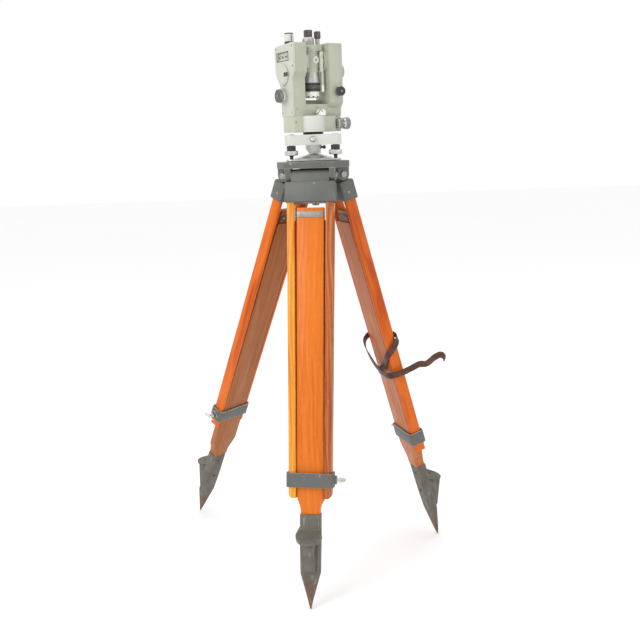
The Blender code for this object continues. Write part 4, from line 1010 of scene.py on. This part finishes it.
# illumination mirror: white rimmed disc with its hinge and finger lever
mir = lathe("mirror", [(0, 0.0031), (0.0205, 0.0031), (0.0212, 0.0024), (0.0222, 0.0024),
                       (0.0228, 0.0030), (0.0252, 0.0030), (0.0264, 0.0025),
                       (0.0268, 0.0015), (0.0268, -0.0001), (0.0262, -0.0005),
                       (0.0225, -0.0005), (0, -0.0004)], 120,
            mats=[0, 0, 0, 0, 0, 0, 0, 0, 0, 0, 1], axis='-X',
            centre=(-0.0738, 0.0170, 1.1660))
put("illumination_mirror_visual", mir, ALIDADE, "illumination_mirror", ["side", "mirror"],
    ["illumination_mirror"])
lev = [slab("lever", round_rect(0.0170, 0.0034, 0.0015, -0.0040, 1.1692), -0.0786, -0.0770,
            "YZ"),
       slab("lever", round_rect(0.0170, 0.0034, 0.0015, -0.0040, 1.1628), -0.0786, -0.0770,
            "YZ"),
       slab("lever", round_rect(0.0050, 0.0100, 0.0020, 0.0040, 1.1660), -0.0786, -0.0768,
            "YZ"),
       lathe("lever_pin", [(0, 0.0026), (0.0026, 0.0026), (0.0032, 0.0020), (0.0032, -0.001),
                           (0, -0.001)], 32, axis='-X', centre=(-0.0776, -0.0090, 1.1660))]
put("mirror_lever", merged("lv", *lev), ALIDADE, "illumination_mirror", "dark_steel",
    bevel=0.0004)
hin = [lathe("knuckle", [(0, a), (0.0014, a), (0.0017, a + 0.0003), (0.0017, b - 0.0003),
                         (0.0014, b), (0, b)], 24, centre=(-0.0752, 0.0438, 0))
       for a, b in ((1.1560, 1.1620), (1.1700, 1.1760))]
put("mirror_hinge", merged("mh", *hin), ALIDADE, "illumination_mirror", "steel")

# circle setting cap with its small locking lever
cap = lathe("setcap", [(0, 1.0765), (0.0050, 1.0762), (0.0085, 1.0752), (0.0108, 1.0736),
                       (0.0122, 1.0712), (0.0125, 1.0622), (0.0121, 1.0614),
                       (0.0121, 1.0608), (0, 1.0608)], 96,
            [(1.0616, 1.0630, 40, 0.0003)], centre=(0.0040, -0.0380, 0))
put("setting_cap_visual", cap, ALIDADE, "setting_cap", "white", ["setting_cap"])
arc = [(0.0040 + 0.0142 * math.cos(a), -0.0380 + 0.0142 * math.sin(a),
        1.0640 + 0.0105 * math.sin((a - 3.3) * 1.9) ** 2)
       for a in [math.radians(190 + 5 * k) for k in range(15)]]
put("setting_cap_lever", wire("scl", arc, 0.0008, seg=12), ALIDADE, "alidade",
    "dark_steel")

# bearing caps inside the standards
for sg in (-1, 1):
    ring = lathe("bear", closed([(0.0205, 0.0265), (0.0262, 0.0265), (0.0268, 0.0269),
                                 (0.0268, 0.0272), (0.0205, 0.0272)]), 96,
                 axis='X' if sg > 0 else '-X', centre=(0, 0, 1.1985))
    put("bearing_ring_" + ("r" if sg > 0 else "l"), ring, ALIDADE, "alidade", "steel")

# plate let into the floor between the standards, with a black sheet showing round its edge as a painted
# shadow gap
fp = slab("floor_plate", [(-0.0250, -0.0195), (0.0250, -0.0195), (0.0205, 0.0085),
                          (-0.0205, 0.0085)], 1.0890, 1.0903)
put("floor_plate", fp, ALIDADE, "alidade", "side", bevel=0.0005, edge="side_edge")
fg = slab("floor_gap", [(-0.0262, -0.0205), (0.0262, -0.0205), (0.0214, 0.0095),
                        (-0.0214, 0.0095)], 1.0885, 1.08965)
put("floor_gap", fg, ALIDADE, "alidade", "black")

# cover screws
cs = []
for y, z in ((-0.0320, 1.2340), (0.0520, 1.2330), (-0.0195, 1.0700), (0.0285, 1.0700),
             (-0.0330, 1.1850), (0.0270, 1.1280)):
    cs.append(screw_head("cs", 0.0024, 0.0008, at=T((-0.0730, y, z))
                         @ Ry(math.radians(-90)) @ Rz(y * 99)))
for y, z in ((-0.0330, 1.2370), (0.0400, 1.2370), (-0.0200, 1.0700), (0.0285, 1.0700),
             (-0.0330, 1.1200), (0.0400, 1.1600)):
    cs.append(screw_head("cs", 0.0024, 0.0008, at=T((0.0730, y, z))
                         @ Ry(math.radians(90)) @ Rz(y * 99)))
for x, z in ((0.0600, 1.0780), (-0.0600, 1.0780), (0.0, 1.0820), (0.0600, 1.0500),
             (-0.0640, 1.0450)):
    cs.append(screw_head("cs", 0.0022, 0.0008, at=T((x, -0.0246 if z > 1.06 else -0.0251, z))
                         @ Rx(math.radians(90)) @ Rz(x * 99)))
put("cover_screws", merged("cvs", *cs), ALIDADE, "alidade", "bolt")

# ------------------------------------------------------------------ telescope
put("vertical_circle_visual",
    lathe("vcircle", closed([(0.00935, 0.0015), (0.0325, 0.0015), (0.0325, -0.0015),
                             (0.00935, -0.0015)]), 120, axis='X',
          centre=(-0.0500, 0, 0)), TELE, "telescope", "glass", ["vertical_circle"])
copy_of("telescope_body", TELE, ["cream", "satin"], 0.0010, "cream_edge", seg=2,
        pick=lambda c, n: 1 if c.z < -0.030 or (c.z > 0.0225 and c.z < 0.030) else 0)
barrel = lathe("barrel", [(0, -0.0543), (0.0222, -0.0543), (0.0230, -0.0550),
                          (0.0230, -0.0582), (0.0224, -0.0588), (0.0224, -0.0600),
                          (0.0230, -0.0606), (0.0230, -0.0690), (0.0224, -0.0696),
                          (0.0224, -0.0708), (0.0230, -0.0714), (0.0230, -0.0754),
                          (0.0224, -0.0762), (0, -0.0762)], 96,
               [(-0.0694, -0.0602, 72, 0.0004)],
               mats=[0, 0, 1, 1, 1, 2, 2, 2, 1, 1, 1, 0, 0])
put("objective_barrel_visual", barrel, TELE, "telescope", ["chrome", "black", "grip"],
    ["objective_barrel"])
cell = lathe("cell", closed([(0.0158, -0.0765), (0.0196, -0.0765), (0.0202, -0.0771),
                             (0.0202, -0.0898), (0.0198, -0.0908), (0.0190, -0.0914),
                             (0.0172, -0.0915), (0.0160, -0.0905), (0.0158, -0.0890)]), 96)
put("objective_cell_visual", cell, TELE, "telescope", "white", ["objective_cell"])
# black scallops on the cell's lower edge: painted dark reflections, not cut notches
sca = []
for k in range(10):
    a = 2 * math.pi * k / 10
    sca.append(moved(slab("scallop", round_rect(0.0052, 0.0030, 0.0012), -0.0002, 0.0006),
                     Rz(a) @ T((0.0201, 0, -0.0893)) @ Ry(math.radians(90))
                     @ Rz(math.radians(90))))
put("objective_cell_notches", merged("sca", *sca), TELE, "telescope", "black")
lens = lathe("lens", [(0, -0.0790), (0.0154, -0.0790), (0.0154, -0.0843), (0.0142, -0.0850),
                      (0.0125, -0.0857), (0.0105, -0.0862), (0.0080, -0.0866),
                      (0.0050, -0.0870), (0.0025, -0.0871), (0, -0.0871)], 96)
put("objective_lens_visual", lens, TELE, "telescope", "lens", ["objective_lens"])
focus = lathe("focus", [(0, 0.0610), (0.0108, 0.0610), (0.0114, 0.0606), (0.0140, 0.0574),
                        (0.0150, 0.0563), (0.0155, 0.0550), (0.0155, 0.0455),
                        (0.0150, 0.0440), (0.0140, 0.0418), (0.0134, 0.0413), (0, 0.0413)],
              96, [(0.0452, 0.0553, 48, 0.0005)], mats=[0, 0, 0, 0, 0, 1, 0, 0, 0, 0],
              centre=(-0.0050, 0, 0))
put("focus_ring_visual", focus, TELE, "focus_ring", ["satin", "grip_chrome"], ["focus_ring"])
eye = lathe("eye", closed([(0.0060, 0.0778), (0.0066, 0.0785), (0.0098, 0.0785),
                           (0.0108, 0.0780), (0.0113, 0.0770), (0.0113, 0.0645),
                           (0.0108, 0.0635), (0.0100, 0.0628), (0.0100, 0.0613),
                           (0.0060, 0.0613)]), 96, [(0.0644, 0.0771, 44, 0.0006)],
            centre=(-0.0050, 0, 0))
put("eyepiece_ring_visual", eye, TELE, "eyepiece_ring", "grip", ["eyepiece_ring"])
el = lathe("eyelens", [(0, 0.0752), (0.0030, 0.0748), (0.0058, 0.0738), (0.0058, 0.0700),
                       (0, 0.0700)], 64, centre=(-0.0050, 0, 0))
put("eyepiece_lens", el, TELE, "eyepiece_ring", "lens")
rd = lathe("read", closed([(0.0040, 0.0750), (0.0046, 0.0755), (0.0074, 0.0755),
                           (0.0082, 0.0751), (0.0086, 0.0743), (0.0086, 0.0595),
                           (0.0082, 0.0583), (0.0076, 0.0575), (0.0040, 0.0575)]), 96,
           [(0.0594, 0.0744, 34, 0.0005)], centre=(0.0205, -0.0040, 0))
put("reading_eyepiece_visual", rd, TELE, "reading_eyepiece", "grip",
    ["reading_eyepiece"])
rl = lathe("readlens", [(0, 0.0728), (0.0020, 0.0725), (0.0039, 0.0716), (0.0039, 0.0690),
                        (0, 0.0690)], 48, centre=(0.0205, -0.0040, 0))
put("reading_lens", rl, TELE, "reading_eyepiece", "lens")
copy_of("sight_tube", TELE, "pale", 0.0006, "pale_edge")
sc = [lathe("sight_cap", closed([(0.0018, a), (0.0036, a), (0.0039, a + 0.0004),
                                 (0.0039, b - 0.0004), (0.0036, b), (0.0018, b)]), 48,
            centre=(0.0232, -0.0190, 0)) for a, b in ((0.0190, 0.0240), (-0.0768, -0.0600))]
put("sight_tube_caps", merged("stc", *sc), TELE, "telescope", "white")
# bearing flanges of the trunnions, seen edge-on beside the telescope
for sg, tag in ((-1, "l"), (1, "r")):
    fl = lathe("flange", closed([(0.0185, 0.0212), (0.0232, 0.0212), (0.0243, 0.0218),
                                 (0.0246, 0.0226), (0.0246, 0.0250), (0.0240, 0.0258),
                                 (0.0185, 0.0260)]), 96, mats=[0, 0, 1, 1, 1, 0, 0],
               axis='X' if sg > 0 else '-X')
    put("trunnion_flange_" + tag, fl, TELE, "telescope",
        ["pale", "brass"] if sg > 0 else ["pale", "side"])
# reticle adjusting screws round the collar, and a bright band under it
rs = []
for k in range(4):
    a = math.radians(45 + 90 * k)
    rs.append(moved(screw_head("rs", 0.0020, 0.0010),
                    Rz(a) @ T((0.0213, 0, 0.0325)) @ Ry(math.radians(90))))
put("reticle_screws", merged("rs", *rs), TELE, "telescope", "bolt")
bd = lathe("band", closed([(0.0198, 0.0232), (0.0222, 0.0232), (0.0222, 0.0214),
                           (0.0198, 0.0214)]), 96)
put("telescope_band", bd, TELE, "telescope", "steel", bevel=0.0003)
# round cover on the telescope's body with its screw, towards the observer
fd = lathe("fdisc", [(0, 0.0012), (0.0088, 0.0012), (0.0096, 0.0006), (0.0096, -0.0030),
                     (0, -0.0030)], 64, axis='-Y', centre=(0.0040, -0.0200, 0.0030))
put("telescope_disc", fd, TELE, "telescope", "pale")
put("telescope_disc_screw", screw_head("fds", 0.0026, 0.0010, at=T((0.0040, -0.0212, 0.0030))
                                       @ Rx(math.radians(90)) @ Rz(0.5)),
    TELE, "telescope", "bolt")

# ------------------------------------------------------------------ knobs
vk = lathe("vck", [(0, 0.0210), (0.0115, 0.0212), (0.0122, 0.0208), (0.0152, 0.0212),
                   (0.0164, 0.0206), (0.0170, 0.0194), (0.0170, 0.0134),
                   (0.0164, 0.0126), (0, 0.0124)], 96, [(0.0132, 0.0193, 44, 0.0006)],
           mats=[1, 1, 1, 1, 0, 0, 0, 0], axis='-X', centre=(-0.0733, 0.0150, 1.1130))
put("vertical_clamp_knob_visual", vk, ALIDADE, "vertical_clamp_knob", ["grip_chrome", "face"],
    ["vertical_clamp_knob"])
put("vertical_clamp_pin", screw_head("vcp", 0.0030, 0.0008, at=T((-0.0945, 0.0150, 1.1130))
                                     @ Ry(math.radians(-90)) @ Rz(0.7)),
    ALIDADE, "vertical_clamp_knob", "bolt")
tk = lathe("vtk", [(0, 0.0173), (0.0070, 0.0175), (0.0078, 0.0170), (0.0104, 0.0175),
                   (0.0116, 0.0169), (0.0122, 0.0158), (0.0122, 0.0092),
                   (0.0116, 0.0085), (0, 0.0083)], 96, [(0.0091, 0.0159, 40, 0.0006)],
           mats=[1, 1, 1, 1, 0, 0, 0, 0], axis='-Y', centre=(0.0585, -0.0383, 1.1210))
put("vertical_tangent_knob_visual", tk, ALIDADE, "vertical_tangent_knob",
    ["grip", "black"], ["vertical_tangent_knob"])
put("vertical_tangent_pin", screw_head("vtp", 0.0026, 0.0008,
                                       at=T((0.0585, -0.0558, 1.1210))
                                       @ Rx(math.radians(90)) @ Rz(1.2)),
    ALIDADE, "vertical_tangent_knob", "bolt")
collar = lathe("vtc", closed([(0.0122, -0.0464), (0.0134, -0.0464), (0.0137, -0.0456),
                              (0.0137, -0.0430), (0.0122, -0.0430)]), 96, axis='Y',
               centre=(0.0585, 0, 1.1210))
put("tangent_collar_ring", collar, ALIDADE, "alidade", "chrome")
cc = lathe("vcc", closed([(0.0172, -0.0002), (0.0188, -0.0002), (0.0192, 0.0006),
                          (0.0192, 0.0066), (0.0188, 0.0074), (0.0172, 0.0074)]), 96,
           axis='-X', centre=(-0.0775, 0.0150, 1.1130))
put("clamp_collar_ring", cc, ALIDADE, "alidade", "chrome")
mk = lathe("mick", [(0, 0.0198), (0.0120, 0.0200), (0.0160, 0.0200), (0.0172, 0.0196),
                    (0.0180, 0.0188), (0.0184, 0.0175), (0.0184, 0.0052),
                    (0.0180, 0.0042), (0.0160, 0.0032), (0.0124, 0.0021), (0.0120, 0.0014),
                    (0.0120, 0.0), (0, 0.0)], 96, [(0.0055, 0.0172, 56, 0.0005)],
           mats=[0, 0, 0, 0, 0, 1, 0, 0, 0, 0, 0, 0], axis='X',
           centre=(0.0733, 0.0, 1.1740))
put("micrometer_knob_visual", mk, ALIDADE, "micrometer_knob", ["cream", "grip_pale"],
    ["micrometer_knob"])
hr = lathe("hcr", [(0, 0.0155), (0.0112, 0.0155), (0.0124, 0.0150), (0.0134, 0.0138),
                   (0.0134, 0.0020), (0.0130, 0.0008), (0.0124, 0.0), (0, 0.0)], 96,
           [(0.0022, 0.0136, 44, 0.0005)], mats=[0, 0, 0, 1, 0, 0, 0], axis='X',
           centre=(0.0503, -0.0405, 1.0390))
put("horizontal_clamp_ring_visual", hr, ALIDADE, "horizontal_clamp_ring",
    ["chrome", "grip_chrome"], ["horizontal_clamp_ring"])
ll = [slab("hl", round_rect(0.0056, 0.0150, 0.0024, 0.0080 + 0.0503, -0.0405 - 0.0190),
           1.0375, 1.0405)]
put("horizontal_clamp_lever", merged("hcl", *ll), ALIDADE, "horizontal_clamp_ring",
    "chrome", bevel=0.0006)
hk = lathe("htk", [(0, 0.0345), (0.0080, 0.0347), (0.0118, 0.0350), (0.0132, 0.0350),
                   (0.0146, 0.0346), (0.0155, 0.0334), (0.0155, 0.0202),
                   (0.0151, 0.0192), (0.0144, 0.0176), (0.0138, 0.0158), (0, 0.0158)], 96,
           [(0.0204, 0.0332, 48, 0.0007)], mats=[1, 1, 0, 0, 0, 2, 0, 0, 0, 0], axis='X',
           centre=(0.0503, -0.0405, 1.0390))
put("horizontal_tangent_knob_visual", hk, ALIDADE, "horizontal_tangent_knob",
    ["chrome", "black", "grip_chrome"], ["horizontal_tangent_knob"])

# ------------------------------------------------------------------ stage
bm = bmesh.new()
half = 14.0
vs = [bm.verts.new(p) for p in ((-half, -half, 0), (half, -half, 0), (half, half, 0),
                                (-half, half, 0))]
bm.faces.new(vs)
me = bpy.data.meshes.new("floor")
bm.to_mesh(me)
bm.free()
floor = bpy.data.objects.new("floor", me)
bpy.context.scene.collection.objects.link(floor)
fm = Mat("floor_pale", Roughness=0.9)
fn = fm.noise(0.7, vec=fm.node("ShaderNodeTexCoord").outputs["Object"], detail=3)
me.materials.append(fm.out(Base_Color=fm.ramp(fn, (0.3, (0.962, 0.962, 0.962)),
                                              (0.7, (0.972, 0.972, 0.972)))))
floor.location.z = -0.0006

world = bpy.data.worlds.new("studio")
bpy.context.scene.world = world
world.use_nodes = True
bg = world.node_tree.nodes["Background"]
bg.inputs[0].default_value = (1.0, 1.0, 1.0, 1)
bg.inputs[1].default_value = 1.0


def area(name, loc, target, size, power, tint=(1, 1, 1)):
    l = bpy.data.lights.new(name, 'AREA')
    l.shape = 'RECTANGLE'
    l.size, l.size_y = size
    l.energy = power
    l.color = tint
    o = bpy.data.objects.new(name, l)
    bpy.context.scene.collection.objects.link(o)
    o.location = loc
    o.rotation_euler = (Vector(target) - Vector(loc)).to_track_quat('-Z', 'Y').to_euler()


area("key", (-2.0, -2.0, 2.3), (0, 0, 0.75), (1.6, 1.6), 30)
area("fill", (2.4, -1.6, 1.6), (0, 0, 0.7), (1.8, 1.8), 5)
area("top", (0.2, 0.4, 3.2), (0, 0, 0.9), (2.2, 2.2), 12)

# ------------------------------------------------------------------ camera
yaw, pitch, roll = math.radians(1.74), math.radians(-11.79), math.radians(-2.09)
FOCAL_PX = 854.0
cy, sy, cp, spi, cr, sr = (math.cos(yaw), math.sin(yaw), math.cos(pitch), math.sin(pitch),
                           math.cos(roll), math.sin(roll))
rot = (Matrix(((cr, 0, sr), (0, 1, 0), (-sr, 0, cr)))
       @ Matrix(((1, 0, 0), (0, cp, spi), (0, -spi, cp)))
       @ Matrix(((cy, sy, 0), (-sy, cy, 0), (0, 0, 1))))
right, ahead, up = rot[0], rot[1], rot[2]
cam_data = bpy.data.cameras.new("camera")
cam = bpy.data.objects.new("camera", cam_data)
bpy.context.scene.collection.objects.link(cam)
cam_data.sensor_width = 36.0
cam_data.lens = 36.0 * FOCAL_PX / 640.0
cam_data.clip_start = 0.05
m = Matrix((right, up, -ahead)).transposed().to_4x4()
m.translation = (0.0917, -1.929, 0.985)
cam.matrix_world = m
bpy.context.scene.camera = cam
bpy.context.scene.view_settings.view_transform = 'Standard'
bpy.context.scene.view_settings.look = 'None'
